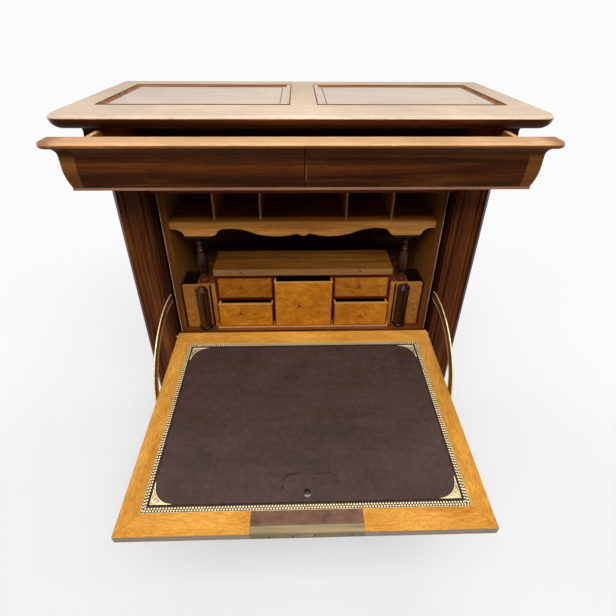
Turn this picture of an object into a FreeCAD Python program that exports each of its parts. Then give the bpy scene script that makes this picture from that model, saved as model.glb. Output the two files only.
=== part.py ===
import FreeCAD, Part
import math
import operator
import os
import types

import Sketcher

# A fall-front escritoire: moulded plinth, three long drawers, a fall with a leather writing surface,
# a fitted interior of pigeonholes, small drawers and document boxes, and a cornice-shaped top drawer.
# Lengths are millimetres. X runs across the desk, Y from its front plane to its back, Z up from the floor.

doc = FreeCAD.newDocument("escritoire")
sheet = doc.addObject("Spreadsheet::Sheet", "Sizes")

SIZES = {
    # Case
    "case_width": 980,
    "case_depth": 406,
    "board_thick": 20,
    "back_thick": 10,
    "bottom_thick": 18,
    "running_gap": 0.5,
    "front_gap": 1,
    # Plinth
    "plinth_height": 90,
    "plinth_out": 16,
    "plinth_thick": 25,
    "plinth_flat_height": 62,
    "plinth_neck_out": 3,
    "plinth_neck_height": 6,
    "plinth_hollow_depth": 4,
    # Corner posts with reeded fronts and a canted outer corner
    "post_width": 89,
    "post_depth": 45,
    "post_cant_width": 12,
    "reed_groove_width": 4,
    "outer_reed_width": 12,
    "inner_reed_width": 11,
    "reed_depth": 6,
    # Side frames
    "stile_width": 60,
    "side_bottom_rail_height": 82,
    "side_middle_rail_height": 60,
    "side_top_rail_height": 76,
    "panel_thick": 8,
    "panel_sunk_depth": 8,
    # Long drawers
    "long_opening_height": 182,
    "rail_thick": 18,
    "rail_depth": 60,
    "runner_width": 98,
    "guide_thick": 8,
    "guide_height": 20,
    "long_front_thick": 20,
    "long_side_thick": 12,
    "long_side_height": 150,
    "long_box_gap": 10,
    "long_bottom_thick": 8,
    "drawer_back_gap": 20,
    "keyhole_width": 6,
    "keyhole_height": 18,
    # Fall and its rails
    "fall_rail_height": 20,
    "deck_thick": 23,
    "deck_notch_depth": 215,
    "bearer_width": 30,
    "fall_thick": 22,
    "fall_side_gap": 8,
    "fall_length": 545,
    "fall_border_width": 42,
    "fall_droop_angle": 3.4,
    "fall_gap": 2,
    "fall_panel_thick": 15,
    "leather_thick": 1,
    "fall_moulding_width": 22,
    "lock_block_width": 236,
    "lock_width": 90,
    "lock_depth": 34,
    "lock_thick": 12,
    "selvedge_thick": 1.5,
    "selvedge_flange_width": 13,
    "bolt_width": 24,
    "bolt_length": 24,
    "bolt_thick": 6,
    "bolt_gap": 0.4,
    "bolt_slot_gap": 2,
    "mortise_width": 28,
    "pivot_diameter": 6,
    "pivot_seat_length": 8,
    "pivot_clearance": 0.05,
    # Brass stays on the fall
    "stay_thick": 3,
    "stay_width": 28,
    "stay_radius": 190,
    "stay_centre_out": 39,
    "stay_centre_drop": 34,
    "stay_tail_depth": 14,
    # Head rail and frieze
    "head_rail_height": 68,
    "head_lip_height": 5,
    "frieze_floor_thick": 12,
    "frieze_foot_out": 20.5,
    "frieze_foot_height": 6,
    "frieze_neck_out": 19.5,
    "frieze_belly_out": 27.5,
    "frieze_belly_height": 52,
    "frieze_flat_height": 82,
    "frieze_cove_out": 42,
    "frieze_face_height": 102,
    "frieze_swell_depth": 1.6,
    "frieze_hollow_depth": 4,
    "frieze_block_width": 31.5,
    "lip_out_front": 53,
    "lip_out_side": 60,
    "lip_thick": 13,
    "lip_corner_radius": 26,
    "frieze_side_cove_out": 36,
    "frieze_side_cove_height": 20,
    "frieze_bed_height": 5,
    "frieze_pull_length": 96,
    "frieze_box_side": 12,
    "frieze_box_depth": 370,
    "frieze_box_height": 113,
    "frieze_bottom_height": 8,
    "frieze_bottom_thick": 6,
    # Top
    "top_thick": 32,
    "top_out_front": 70,
    "top_out_side": 74,
    "top_out_back": 10,
    "top_undercut_depth": 26,
    "top_ovolo_height": 25,
    "top_ovolo_depth": 7,
    "top_arris_width": 5,
    "top_corner_radius": 36,
    "top_front_rail_width": 120,
    "top_back_rail_width": 73,
    "top_end_rail_width": 67,
    "top_muntin_width": 68,
    "top_panel_sunk_depth": 4,
    "top_panel_thick": 20,
    "top_moulding_width": 9,
    "moulding_flat_width": 2,
    # Interior gallery
    "stay_pocket_width": 14,
    "gallery_side_thick": 12,
    "gallery_front_depth": 24.5,
    "gallery_back_depth": 300,
    "gallery_back_thick": 6,
    "gallery_top_thick": 10,
    "shelf_rise_share": 0.793,
    "shelf_thick": 12,
    "apron_front_depth": 48,
    "apron_thick": 10,
    "apron_height": 44,
    "apron_arch_height": 23,
    "apron_end_flat_width": 14,
    "apron_end_cove_width": 25,
    "apron_end_hollow_depth": 5,
    "apron_foot_width": 74,
    "apron_ogee_width": 19,
    "apron_ogee_height": 15,
    "apron_ogee_bow_depth": 4,
    "apron_sweep_width": 74,
    "apron_sweep_height": 10,
    "apron_sweep_bow_depth": 5,
    "apron_swag_end_width": 16,
    "apron_swag_height": 8,
    "apron_swag_bow_depth": 12,
    "apron_drop_height": 8,
    "divider_thick": 5,
    "divider_inner_share": 0.322,
    "divider_outer_share": 0.666,
    "divider_front_depth": 60,
    # Nest of small drawers
    "bay_width": 106,
    "nest_back_depth": 151,
    "nest_wall_thick": 6,
    "nest_base_height": 14,
    "nest_base_bevel_width": 4,
    "nest_front_depth": 52,
    "nest_top_front_depth": 45,
    "nest_top_thick": 22,
    "nest_ceiling_thick": 16,
    "centre_drawer_share": 0.331,
    "small_lower_height": 86,
    "small_rail_thick": 7,
    "small_upper_height": 73,
    "small_pull_length": 25,
    "small_front_thick": 10,
    "small_side_thick": 5,
    "small_bottom_thick": 4,
    "small_front_drop_height": 6,
    # Document boxes and columns
    "bay_partition_thick": 12,
    "bay_height": 161,
    "bay_cap_thick": 8,
    "bay_cap_width": 52,
    "bay_cap_front_depth": 46,
    "box_outer_gap": 2,
    "box_inner_gap": 4,
    "box_front_depth": 66,
    "left_box_pull_length": 22,
    "right_box_pull_length": 18,
    "box_front_thick": 10,
    "box_side_thick": 5,
    "column_inset_width": 20,
    "column_depth": 62,
    "half_column_inset_width": 25,
    "half_column_radius": 19,
    "half_column_ring_width": 1.5,
    "half_column_foot_height": 8,
    "half_column_cap_height": 14,
    "abacus_depth": 30,
    "abacus_thick": 8,
    "column_cap_radius": 13,
    "column_cap_share": 0.04,
    "column_stem_radius": 6.5,
    "column_collar_radius": 10.5,
    "column_collar_share": 0.05,
    "column_ball_share": 0.065,
    "column_ball_bow_depth": 5.5,
    "column_ball_centre_share": 0.56,
    "column_vase_radius": 16,
    "column_vase_foot_share": 0.2,
    "column_vase_belly_share": 0.33,
    "column_vase_top_share": 0.48,
    "column_vase_bow_depth": 5,
    "column_neck_radius": 7,
    "column_foot_radius": 15,
    "column_foot_share": 0.04,
    "column_foot_top_share": 0.08,
}

for row, (alias, number) in enumerate(SIZES.items(), start=1):
    cell = f"A{row}"
    sheet.set(cell, str(number))
    sheet.setAlias(cell, alias)
doc.recompute()

OPERATIONS = {"+": operator.add, "-": operator.sub, "*": operator.mul, "/": operator.truediv}


class Size:
    """A value together with the sheet formula that gives it."""

    def __init__(self, value, formula):
        self.value = value
        self.formula = formula

    def __add__(self, other):
        return combine(self, "+", other)

    def __radd__(self, other):
        return combine(other, "+", self)

    def __sub__(self, other):
        return combine(self, "-", other)

    def __rsub__(self, other):
        return combine(other, "-", self)

    def __mul__(self, other):
        return combine(self, "*", other)

    def __rmul__(self, other):
        return combine(other, "*", self)

    def __truediv__(self, other):
        return combine(self, "/", other)

    def __neg__(self):
        return combine(0, "-", self)

    def root(self):
        return Size(math.sqrt(self.value), f"sqrt({self.formula})")


def as_size(item):
    return item if isinstance(item, Size) else Size(float(item), repr(item))


def combine(left, sign, right):
    left = as_size(left)
    right = as_size(right)
    value = OPERATIONS[sign](left.value, right.value)
    return Size(value, f"({left.formula} {sign} {right.formula})")


S = types.SimpleNamespace()
for alias in SIZES:
    setattr(S, alias, Size(float(sheet.get(alias)), f"Sizes.{alias}"))


# Helpers that make bound objects

def bind(target, prop, size):
    target.setExpression(prop, as_size(size).formula)


def place(target, across, deep, high):
    for axis, size in zip("xyz", (across, deep, high)):
        bind(target, f"Placement.Base.{axis}", size)


def turn(target, axis, degrees):
    """Turn an object about one of its own axes."""
    target.Placement = FreeCAD.Placement(FreeCAD.Vector(), FreeCAD.Rotation(axis, degrees))


X_AXIS = FreeCAD.Vector(1, 0, 0)
Y_AXIS = FreeCAD.Vector(0, 1, 0)
Z_AXIS = FreeCAD.Vector(0, 0, 1)


def board(name, across, deep, high):
    """A plain board between two values along each axis."""
    box = doc.addObject("Part::Box", name)
    for prop, (low, top) in zip(("Length", "Width", "Height"), (across, deep, high)):
        bind(box, prop, as_size(top) - low)
    place(box, across[0], deep[0], high[0])
    return box


def board_pair(name, across, deep, high):
    """The same board on the left and on the right."""
    low, top = across
    left = board(f"{name}_left_board", (-as_size(top), -as_size(low)), deep, high)
    right = board(f"{name}_right_board", across, deep, high)
    return [left, right]


def rod(name, radius, length, across, deep, high):
    """A cylinder along X that starts at the given place."""
    cylinder = doc.addObject("Part::Cylinder", name)
    turn(cylinder, Y_AXIS, 90)
    bind(cylinder, "Radius", radius)
    bind(cylinder, "Height", length)
    place(cylinder, across, deep, high)
    return cylinder


def frustum(name, low_across, low_deep, top_across, top_deep, high):
    """A tapered block: one rectangle at its foot, another at its top."""
    wedge = doc.addObject("Part::Wedge", name)
    turn(wedge, X_AXIS, 90)
    values = {
        "Xmin": low_across[0], "Xmax": low_across[1],
        "Zmin": -as_size(low_deep[1]), "Zmax": -as_size(low_deep[0]),
        "X2min": top_across[0], "X2max": top_across[1],
        "Z2min": -as_size(top_deep[1]), "Z2max": -as_size(top_deep[0]),
        "Ymin": high[0], "Ymax": high[1],
    }
    for prop, size in values.items():
        bind(wedge, prop, size)
    return wedge


def cut(name, base, tool):
    result = doc.addObject("Part::Cut", name)
    result.Base = base
    result.Tool = tool
    return result


def fuse(name, pieces):
    result = doc.addObject("Part::MultiFuse", name)
    result.Shapes = pieces
    result.Refine = True
    return result


def common(name, pieces):
    result = doc.addObject("Part::MultiCommon", name)
    result.Shapes = pieces
    return result


def group(name, pieces):
    """Separate solids that share one node."""
    result = doc.addObject("Part::Compound", name)
    result.Links = pieces
    return result


def pin_point(sketch, geometry, point, across, high):
    """Hold one point of a sketch at a place given by two sizes."""
    for kind, axis, size in (("DistanceX", -2, across), ("DistanceY", -1, high)):
        if size is None:
            continue
        if abs(size.value) < 1e-9:
            sketch.addConstraint(Sketcher.Constraint("PointOnObject", geometry, point, axis))
        else:
            index = sketch.addConstraint(Sketcher.Constraint(kind, -1, 1, geometry, point, size.value))
            sketch.setExpression(f"Constraints[{index}]", size.formula)


def arc_centre(start, end, bow):
    """Centre of the arc that rises by bow to the left of the way from start to end."""
    run = end[0] - start[0]
    rise = end[1] - start[1]
    chord = (run * run + rise * rise).root()
    offset = (bow - chord * chord / (4 * bow)) / (2 * chord)
    across = (start[0] + end[0]) / 2 - rise * offset
    high = (start[1] + end[1]) / 2 + run * offset
    return across, high


def outline(body, role, points):
    """A closed sketch on one of the body's own planes.

    Each point is (x, y) or (x, y, bow): with a bow the way to the next point is an arc."""
    sketch = body.newObject("Sketcher::SketchObject", f"{body.Name}_outline")
    plane = next(item for item in body.Origin.OriginFeatures if item.Role == role)
    sketch.AttachmentSupport = [(plane, "")]
    sketch.MapMode = "FlatFace"
    corners = [(as_size(point[0]), as_size(point[1])) for point in points]
    spots = [FreeCAD.Vector(across.value, high.value, 0) for across, high in corners]
    count = len(points)
    ends = []
    centres = []
    for index, point in enumerate(points):
        start = spots[index]
        end = spots[(index + 1) % count]
        if len(point) == 3:
            bow = as_size(point[2])
            way = end - start
            left = FreeCAD.Vector(-way.y, way.x, 0).normalize()
            top = (start + end) * 0.5 + left * bow.value
            clockwise = bow.value > 0
            edge = Part.Arc(end, top, start) if clockwise else Part.Arc(start, top, end)
            centres.append((index, arc_centre(corners[index], corners[(index + 1) % count], bow)))
        else:
            clockwise = False
            edge = Part.LineSegment(start, end)
        sketch.addGeometry(edge, False)
        ends.append((2, 1) if clockwise else (1, 2))
    for index in range(count):
        following = (index + 1) % count
        joint = Sketcher.Constraint("Coincident", index, ends[index][1], following, ends[following][0])
        sketch.addConstraint(joint)
        pin_point(sketch, index, ends[index][0], *corners[index])
    for index, (across, high) in centres:
        way = spots[(index + 1) % count] - spots[index]
        if abs(way.x) > abs(way.y):
            pin_point(sketch, index, 3, None, high)
        else:
            pin_point(sketch, index, 3, across, None)
    return sketch


def prism(name, role, points, low, high):
    """A body padded from an outline, between two values along the outline's normal."""
    body = doc.addObject("PartDesign::Body", name)
    sketch = outline(body, role, points)
    pad = body.newObject("PartDesign::Pad", f"{name}_pad")
    pad.Profile = sketch
    bind(pad, "Length", as_size(high) - low)
    axis, start = {"XY_Plane": ("z", low), "YZ_Plane": ("x", low), "XZ_Plane": ("y", high)}[role]
    bind(body, f"Placement.Base.{axis}", start)
    return body


def moulding(name, points, length, degrees, start):
    """A length of moulding whose face looks along -Y before it is turned about Z."""
    body = prism(name, "YZ_Plane", points, 0, length)
    turn(body, Z_AXIS, degrees)
    place(body, *start)
    return body


def turning(name, points, degrees, start):
    """A turned piece: an outline beside the Z axis, revolved about it."""
    body = doc.addObject("PartDesign::Body", name)
    sketch = outline(body, "XZ_Plane", points)
    turned = body.newObject("PartDesign::Revolution", f"{name}_turning")
    turned.Profile = sketch
    turned.ReferenceAxis = (sketch, ["V_Axis"])
    turned.Angle = degrees
    turned.Reversed = True
    place(body, *start)
    return body


nodes = []


def node(label, piece):
    piece.Label = label
    nodes.append(piece)


# Main lines of the case
half_case = S.case_width / 2
opening_half = half_case - S.post_width
gallery_out = opening_half - S.stay_pocket_width
gallery_in = gallery_out - S.gallery_side_thick
side_in = half_case - S.board_thick
back_in = S.case_depth - S.back_thick
case_foot = S.plinth_height + S.bottom_thick
level_step = S.long_opening_height + S.rail_thick
fall_rail_foot = case_foot + 3 * S.long_opening_height + 2 * S.rail_thick
deck_foot = fall_rail_foot + S.fall_rail_height + S.fall_gap
deck_top = deck_foot + S.deck_thick
pivot_deep = S.fall_thick / 2
pivot_high = deck_top - S.fall_thick / 2
frieze_foot = pivot_high + S.fall_length + S.fall_gap + S.head_lip_height
head_foot = frieze_foot - S.head_rail_height
lip_foot = frieze_foot + S.frieze_face_height
top_foot = lip_foot + S.lip_thick + S.frieze_bed_height
top_high = top_foot + S.top_thick


# Plinth

def plinth_outline(inner):
    return [
        (inner, 0),
        (-S.plinth_out, 0),
        (-S.plinth_out, S.plinth_flat_height, -S.plinth_hollow_depth),
        (-S.plinth_neck_out, S.plinth_height - S.plinth_neck_height),
        (-S.plinth_neck_out, S.plinth_height),
        (inner, S.plinth_height),
    ]


plinth_inner = S.plinth_thick - S.plinth_out
plinth_reach = half_case + S.plinth_out
plinth_front = moulding("plinth_front_face", plinth_outline(plinth_inner), 2 * plinth_reach, 0,
                        (-plinth_reach, 0, 0))
plinth_ends = [
    moulding("plinth_end_right", plinth_outline(2 * S.case_width), 2 * S.plinth_thick, 90,
             (half_case, -S.plinth_thick, 0)),
    moulding("plinth_end_left", plinth_outline(2 * S.case_width), 2 * S.plinth_thick, -90,
             (-half_case, S.plinth_thick, 0)),
]
plinth_side_length = S.case_depth - plinth_inner
plinth_sides = [
    moulding("plinth_side_right", plinth_outline(plinth_inner), plinth_side_length, 90,
             (half_case, plinth_inner, 0)),
    moulding("plinth_side_left", plinth_outline(plinth_inner), plinth_side_length, -90,
             (-half_case, S.case_depth, 0)),
]
plinth_back_half = half_case - plinth_inner
plinth_back = board("plinth_back_rail", (-plinth_back_half, plinth_back_half),
                    (S.case_depth - S.plinth_thick, S.case_depth), (0, S.plinth_height))
node("plinth", group("plinth_rails", [common("plinth_front_rail", [plinth_front] + plinth_ends)]
                     + plinth_sides + [plinth_back]))

node("bottom_board", board("bottom_board", (-half_case, half_case), (0, S.case_depth),
                           (S.plinth_height, case_foot)))


# Corner posts

def post_outline(side):
    """Section of a post, from its outer corner inwards; side is 1 on the right and -1 on the left."""
    cant_in = half_case - S.post_cant_width
    reed_out = cant_in - S.reed_groove_width
    reed_in = reed_out - S.outer_reed_width
    band_out = reed_in - S.reed_groove_width
    bead_in = opening_half + S.reed_groove_width
    bead_out = bead_in + S.inner_reed_width
    band_in = bead_out + S.reed_groove_width
    return [
        (side * half_case, S.post_cant_width),
        (side * cant_in, 0),
        (side * cant_in, S.reed_depth),
        (side * reed_out, S.reed_depth, side * S.outer_reed_width / 2),
        (side * reed_in, S.reed_depth),
        (side * band_out, S.reed_depth),
        (side * band_out, 0),
        (side * band_in, 0),
        (side * band_in, S.reed_depth),
        (side * bead_out, S.reed_depth, side * S.inner_reed_width / 2),
        (side * bead_in, S.reed_depth),
        (side * opening_half, S.reed_depth),
        (side * opening_half, S.post_depth),
        (side * half_case, S.post_depth),
    ]


pivot_hole = S.pivot_diameter / 2 + S.pivot_clearance
pivot_overlap = S.pivot_seat_length + S.front_gap
for word, side, hole_start in (("left", -1, -opening_half - pivot_overlap), ("right", 1, opening_half)):
    post = prism(f"post_{word}_shaft", "XY_Plane", post_outline(side), case_foot, frieze_foot)
    hole = rod(f"post_{word}_hole", pivot_hole, pivot_overlap, hole_start, pivot_deep, pivot_high)
    node(f"post_{word}", cut(f"post_{word}_bored", post, hole))


# Framed sides and back
stile_front = S.case_depth - S.stile_width
panel_out = half_case - S.panel_sunk_depth
middle_rail_foot = fall_rail_foot
top_rail_foot = frieze_foot - S.side_top_rail_height
side_heights = [
    (case_foot, case_foot + S.side_bottom_rail_height),
    (middle_rail_foot, middle_rail_foot + S.side_middle_rail_height),
    (top_rail_foot, frieze_foot),
]
side_frames = board_pair("side_stile", (side_in, half_case), (stile_front, S.case_depth),
                         (case_foot, frieze_foot))
for index, span in enumerate(side_heights):
    side_frames += board_pair(f"side_rail_{index}", (side_in, half_case), (S.post_depth, stile_front), span)
node("side_frames", group("side_frame_boards", side_frames))
side_panels = []
for index in range(2):
    span = (side_heights[index][1], side_heights[index + 1][0])
    side_panels += board_pair(f"side_panel_{index}", (panel_out - S.panel_thick, panel_out),
                              (S.post_depth, stile_front), span)
node("side_panels", group("side_panel_boards", side_panels))

back_boards = []
back_board_count = 5
back_board_width = 2 * side_in / back_board_count
for index in range(back_board_count):
    start = -side_in + index * back_board_width
    end = start + back_board_width
    back_boards.append(board(f"back_board_{index}", (start, end), (back_in, S.case_depth),
                             (case_foot, top_foot)))
node("back_boards", group("back_board_group", back_boards))

# Rails, runners and guides of the long drawers
rails = []
runners = []
for index in range(2):
    foot = case_foot + S.long_opening_height + index * level_step
    span = (foot, foot + S.rail_thick)
    rails.append(board(f"drawer_rail_{index}", (-opening_half, opening_half), (0, S.rail_depth), span))
    runners += board_pair(f"drawer_runner_{index}", (side_in - S.runner_width, side_in),
                          (S.rail_depth, back_in), span)
rails.append(board("fall_rail", (-opening_half, opening_half), (0, S.gallery_front_depth),
                   (fall_rail_foot, fall_rail_foot + S.fall_rail_height)))
rails.append(board("deck_bearer_front", (-opening_half, opening_half), (S.gallery_front_depth, S.rail_depth),
                   (fall_rail_foot, deck_foot)))
node("drawer_rails", group("drawer_rail_boards", rails))
runners += board_pair("deck_bearer", (side_in - S.bearer_width, side_in), (S.deck_notch_depth, back_in),
                      (deck_foot - S.rail_thick, deck_foot))
node("drawer_runners", group("drawer_runner_boards", runners))

front_half = opening_half - S.front_gap
box_half = front_half - S.long_box_gap
guide_in = box_half + S.running_gap
guides = []
for index in range(3):
    foot = case_foot + index * level_step
    guides += board_pair(f"drawer_guide_{index}", (guide_in, guide_in + S.guide_thick),
                         (S.rail_depth, back_in), (foot, foot + S.guide_height))
node("drawer_guides", group("drawer_guide_boards", guides))

# Deck behind the fall, with room at each side for the stays to swing
deck_span = (deck_foot, deck_top)
deck = [board("deck_board", (-gallery_out, gallery_out), (S.gallery_front_depth, back_in), deck_span)]
deck += board_pair("deck_wing", (gallery_out, side_in), (S.deck_notch_depth, back_in), deck_span)
node("writing_deck", group("writing_deck_boards", deck))

# Head rail that stops the fall, with a mortise for the bolt
head_boards = [board("head_rail_board", (-opening_half, opening_half), (S.gallery_front_depth, S.rail_depth),
                     (head_foot, frieze_foot))]
head_boards += board_pair("head_lip", (S.mortise_width / 2, opening_half), (0, S.gallery_front_depth),
                          (frieze_foot - S.head_lip_height, frieze_foot))
node("head_rail", group("head_rail_boards", head_boards))
node("frieze_floor", board("frieze_floor", (-side_in, side_in), (S.rail_depth, back_in),
                           (frieze_foot - S.frieze_floor_thick, frieze_foot)))


# Frieze: the swelling lower face is shared by the drawer front and the fixed sides

def frieze_face():
    return [
        (-S.frieze_foot_out, 0),
        (-S.frieze_foot_out, S.frieze_foot_height),
        (-S.frieze_neck_out, S.frieze_foot_height, S.frieze_swell_depth),
        (-S.frieze_belly_out, S.frieze_belly_height),
    ]


def frieze_outline(inner):
    return [(inner, 0)] + frieze_face() + [
        (-S.frieze_belly_out, S.frieze_flat_height, -S.frieze_hollow_depth),
        (-S.frieze_cove_out, S.frieze_face_height),
        (inner, S.frieze_face_height),
    ]


def frieze_side_outline():
    cove_top = S.frieze_face_height + S.lip_thick
    return [(S.board_thick, 0)] + frieze_face() + [
        (-S.frieze_belly_out, cove_top - S.frieze_side_cove_height, -S.frieze_hollow_depth),
        (-S.frieze_side_cove_out, cove_top),
        (-S.frieze_side_cove_out, cove_top + S.frieze_bed_height),
        (S.board_thick, cove_top + S.frieze_bed_height),
    ]


node("frieze_side_right", moulding("frieze_side_right", frieze_side_outline(), S.case_depth, 90,
                                   (half_case, 0, frieze_foot)))
node("frieze_side_left", moulding("frieze_side_left", frieze_side_outline(), S.case_depth, -90,
                                  (-half_case, S.case_depth, frieze_foot)))

# Frieze drawer front: one mitred moulding, as a long board between two corner blocks
frieze_reach = half_case + S.frieze_cove_out
frieze_front_foot = -S.frieze_pull_length
frieze_lengths = [moulding("frieze_front_length", frieze_outline(-S.front_gap), 2 * frieze_reach, 0,
                           (-frieze_reach, frieze_front_foot, frieze_foot))]
for word, side in (("right", 1), ("left", -1)):
    frieze_lengths.append(moulding(
        f"frieze_return_{word}", frieze_outline(2 * S.case_width), 2 * S.case_depth, 90 * side,
        (side * half_case, frieze_front_foot - side * S.case_depth, frieze_foot)))
frieze_mitred = common("frieze_mitred", frieze_lengths)
block_in = half_case + S.frieze_belly_out - S.frieze_block_width
frieze_deep = (frieze_front_foot - S.frieze_cove_out, frieze_front_foot)
frieze_span = (frieze_foot, lip_foot)
frieze_zones = [board("frieze_board_zone", (-block_in, block_in), frieze_deep, frieze_span)]
frieze_zones += board_pair("frieze_block_zone", (block_in, frieze_reach), frieze_deep, frieze_span)
node("frieze_front", group("frieze_front_boards", [
    common(f"frieze_front_board_{index}", [frieze_mitred, zone]) for index, zone in enumerate(frieze_zones)
]))


# Slabs with a moulded edge round the front and the ends, and rounded front corners

def rounded_slab(name, section, half, front, back, radius, high):
    core = half - radius
    pieces = [moulding(f"{name}_front", section(back - front), 2 * core, 0, (-core, front, high))]
    edge_length = back - front - radius
    for word, side in (("right", 1), ("left", -1)):
        edge_start = front + radius if side > 0 else back
        pieces.append(moulding(f"{name}_{word}", section(half), edge_length, 90 * side,
                               (side * half, edge_start, high)))
        corner = [(radius - across, *rest) for across, *rest in reversed_outline(section(radius))]
        pieces.append(turning(f"{name}_corner_{word}", corner, 360, (side * core, front + radius, high)))
    return fuse(f"{name}_slab", pieces)


def reversed_outline(points):
    """The same closed outline run the other way, for its mirror image."""
    count = len(points)
    result = []
    for index in range(count):
        across, high = points[-index][:2]
        before = points[-index - 1]
        result.append((across, high, *before[2:]))
    return result


def lip_outline(inner):
    nose = S.lip_thick / 2
    return [(inner, 0), (nose, 0, nose), (nose, S.lip_thick), (inner, S.lip_thick)]


lip_half = half_case + S.lip_out_side
node("frieze_lip", rounded_slab("frieze_lip", lip_outline, lip_half, frieze_front_foot - S.lip_out_front,
                                frieze_front_foot - S.front_gap, S.lip_corner_radius, lip_foot))


def drawer_box(name, across, deep, high, wall, floor):
    """Two sides, a back and a bottom that sits between them."""
    low, top = across
    inner = (low + wall, top - wall)
    front, back = deep
    bottom_foot, bottom_thick = floor
    return [
        board(f"{name}_side_left", (low, inner[0]), deep, high),
        board(f"{name}_side_right", (inner[1], top), deep, high),
        board(f"{name}_back", inner, (back - wall, back), high),
        board(f"{name}_bottom", inner, (front, back - wall), (bottom_foot, bottom_foot + bottom_thick)),
    ]


frieze_box_foot = frieze_foot + S.running_gap
frieze_box_half = side_in - 4 * S.running_gap
frieze_box_front = -S.front_gap - S.frieze_pull_length
node("frieze_box", group("frieze_box_boards", drawer_box(
    "frieze_box", (-frieze_box_half, frieze_box_half),
    (frieze_box_front, frieze_box_front + S.frieze_box_depth),
    (frieze_box_foot, frieze_box_foot + S.frieze_box_height), S.frieze_box_side,
    (frieze_box_foot + S.frieze_bottom_height, S.frieze_bottom_thick))))


# Top: a framed slab with an undercut edge and two sunk panels

def top_outline(inner):
    return [
        (inner, 0),
        (S.top_undercut_depth, 0, S.top_ovolo_depth),
        (0, S.top_ovolo_height),
        (0, S.top_thick - S.top_arris_width),
        (S.top_arris_width, S.top_thick),
        (inner, S.top_thick),
    ]


top_back = S.case_depth + S.top_out_back
top_half = half_case + S.top_out_side
top_slab = rounded_slab("top", top_outline, top_half, -S.top_out_front, top_back, S.top_corner_radius,
                        top_foot)
panel_front = S.top_front_rail_width - S.top_out_front
panel_back = top_back - S.top_back_rail_width
panel_in = S.top_muntin_width / 2
panel_end = top_half - S.top_end_rail_width
slab_span = (top_foot, top_high)
top_zones = [
    board("top_front_zone", (-top_half, top_half), (-S.top_out_front, panel_front), slab_span),
    board("top_back_zone", (-top_half, top_half), (panel_back, top_back), slab_span),
    board("top_muntin_zone", (-panel_in, panel_in), (panel_front, panel_back), slab_span),
] + board_pair("top_end_zone", (panel_end, top_half), (panel_front, panel_back), slab_span)
top_rails = [common(f"top_rail_{index}", [top_slab, zone]) for index, zone in enumerate(top_zones)]
node("top_frame", group("top_frame_rails", top_rails))
field = top_high - S.top_panel_sunk_depth
node("top_panels", group("top_panel_boards", board_pair(
    "top_panel", (panel_in, panel_end), (panel_front, panel_back), (field - S.top_panel_thick, field))))


def sloped_frame(name, across, deep, high, width):
    """A flat frame whose inner faces slope from its inner edge at the foot to its outer edge at the top."""
    inset = S.moulding_flat_width
    block = board(f"{name}_block", across, deep, high)
    opening = frustum(
        f"{name}_opening",
        (across[0] + width, across[1] - width), (deep[0] + width, deep[1] - width),
        (across[0] + inset, across[1] - inset), (deep[0] + inset, deep[1] - inset), high)
    return cut(f"{name}_frame", block, opening)


node("top_mouldings", group("top_moulding_frames", [
    sloped_frame(f"top_moulding_{word}", across, (panel_front, panel_back), (field, top_high),
                 S.top_moulding_width)
    for word, across in (("left", (-panel_end, -panel_in)), ("right", (panel_in, panel_end)))
]))

# Interior gallery
gallery_span = (deck_top, head_foot)
node("gallery_sides", group("gallery_side_boards", board_pair(
    "gallery_side", (gallery_in, gallery_out), (S.gallery_front_depth, S.gallery_back_depth), gallery_span)))
node("gallery_back", board("gallery_back", (-gallery_out, gallery_out),
                           (S.gallery_back_depth, S.gallery_back_depth + S.gallery_back_thick), gallery_span))
node("gallery_top", board("gallery_top", (-gallery_out, gallery_out),
                          (S.rail_depth, S.gallery_back_depth + S.gallery_back_thick),
                          (head_foot, head_foot + S.gallery_top_thick)))
shelf_top = deck_top + S.shelf_rise_share * (head_foot - deck_top)
apron_back = S.apron_front_depth + S.apron_thick
node("pigeonhole_shelf", board("pigeonhole_shelf", (-gallery_in, gallery_in),
                               (apron_back, S.gallery_back_depth), (shelf_top - S.shelf_thick, shelf_top)))
dividers = []
for index, share in enumerate((S.divider_inner_share, S.divider_outer_share)):
    across = share * gallery_in
    half_thick = S.divider_thick / 2
    dividers += board_pair(f"divider_{index}", (across - half_thick, across + half_thick),
                           (S.divider_front_depth, S.gallery_back_depth), (shelf_top, head_foot))
node("pigeonhole_dividers", group("pigeonhole_divider_boards", dividers))


# Apron: coved ends, flat feet over the columns, an ogee, two swags and a small centre drop

def apron_outline():
    peak = S.apron_arch_height
    cove_out = gallery_in - S.apron_end_flat_width
    foot_out = cove_out - S.apron_end_cove_width
    foot_in = foot_out - S.apron_foot_width
    ogee_in = foot_in - S.apron_ogee_width
    peak_at = ogee_in - S.apron_ogee_width
    sweep_in = peak_at - S.apron_sweep_width
    left = [
        (-gallery_in, peak),
        (-cove_out, peak, S.apron_end_hollow_depth),
        (-foot_out, 0),
        (-foot_in, 0, -S.apron_ogee_bow_depth),
        (-ogee_in, S.apron_ogee_height, S.apron_ogee_bow_depth / 2),
        (-peak_at, peak, S.apron_sweep_bow_depth),
        (-sweep_in, peak - S.apron_sweep_height, -S.apron_swag_bow_depth),
        (-S.apron_swag_end_width, S.apron_swag_height, -S.apron_drop_height),
    ]
    right = [
        (S.apron_swag_end_width, S.apron_swag_height, -S.apron_swag_bow_depth),
        (sweep_in, peak - S.apron_sweep_height, S.apron_sweep_bow_depth),
        (peak_at, peak, S.apron_ogee_bow_depth / 2),
        (ogee_in, S.apron_ogee_height, -S.apron_ogee_bow_depth),
        (foot_in, 0),
        (foot_out, 0, S.apron_end_hollow_depth),
        (cove_out, peak),
        (gallery_in, peak),
    ]
    return left + right + [(gallery_in, S.apron_height), (-gallery_in, S.apron_height)]


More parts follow.
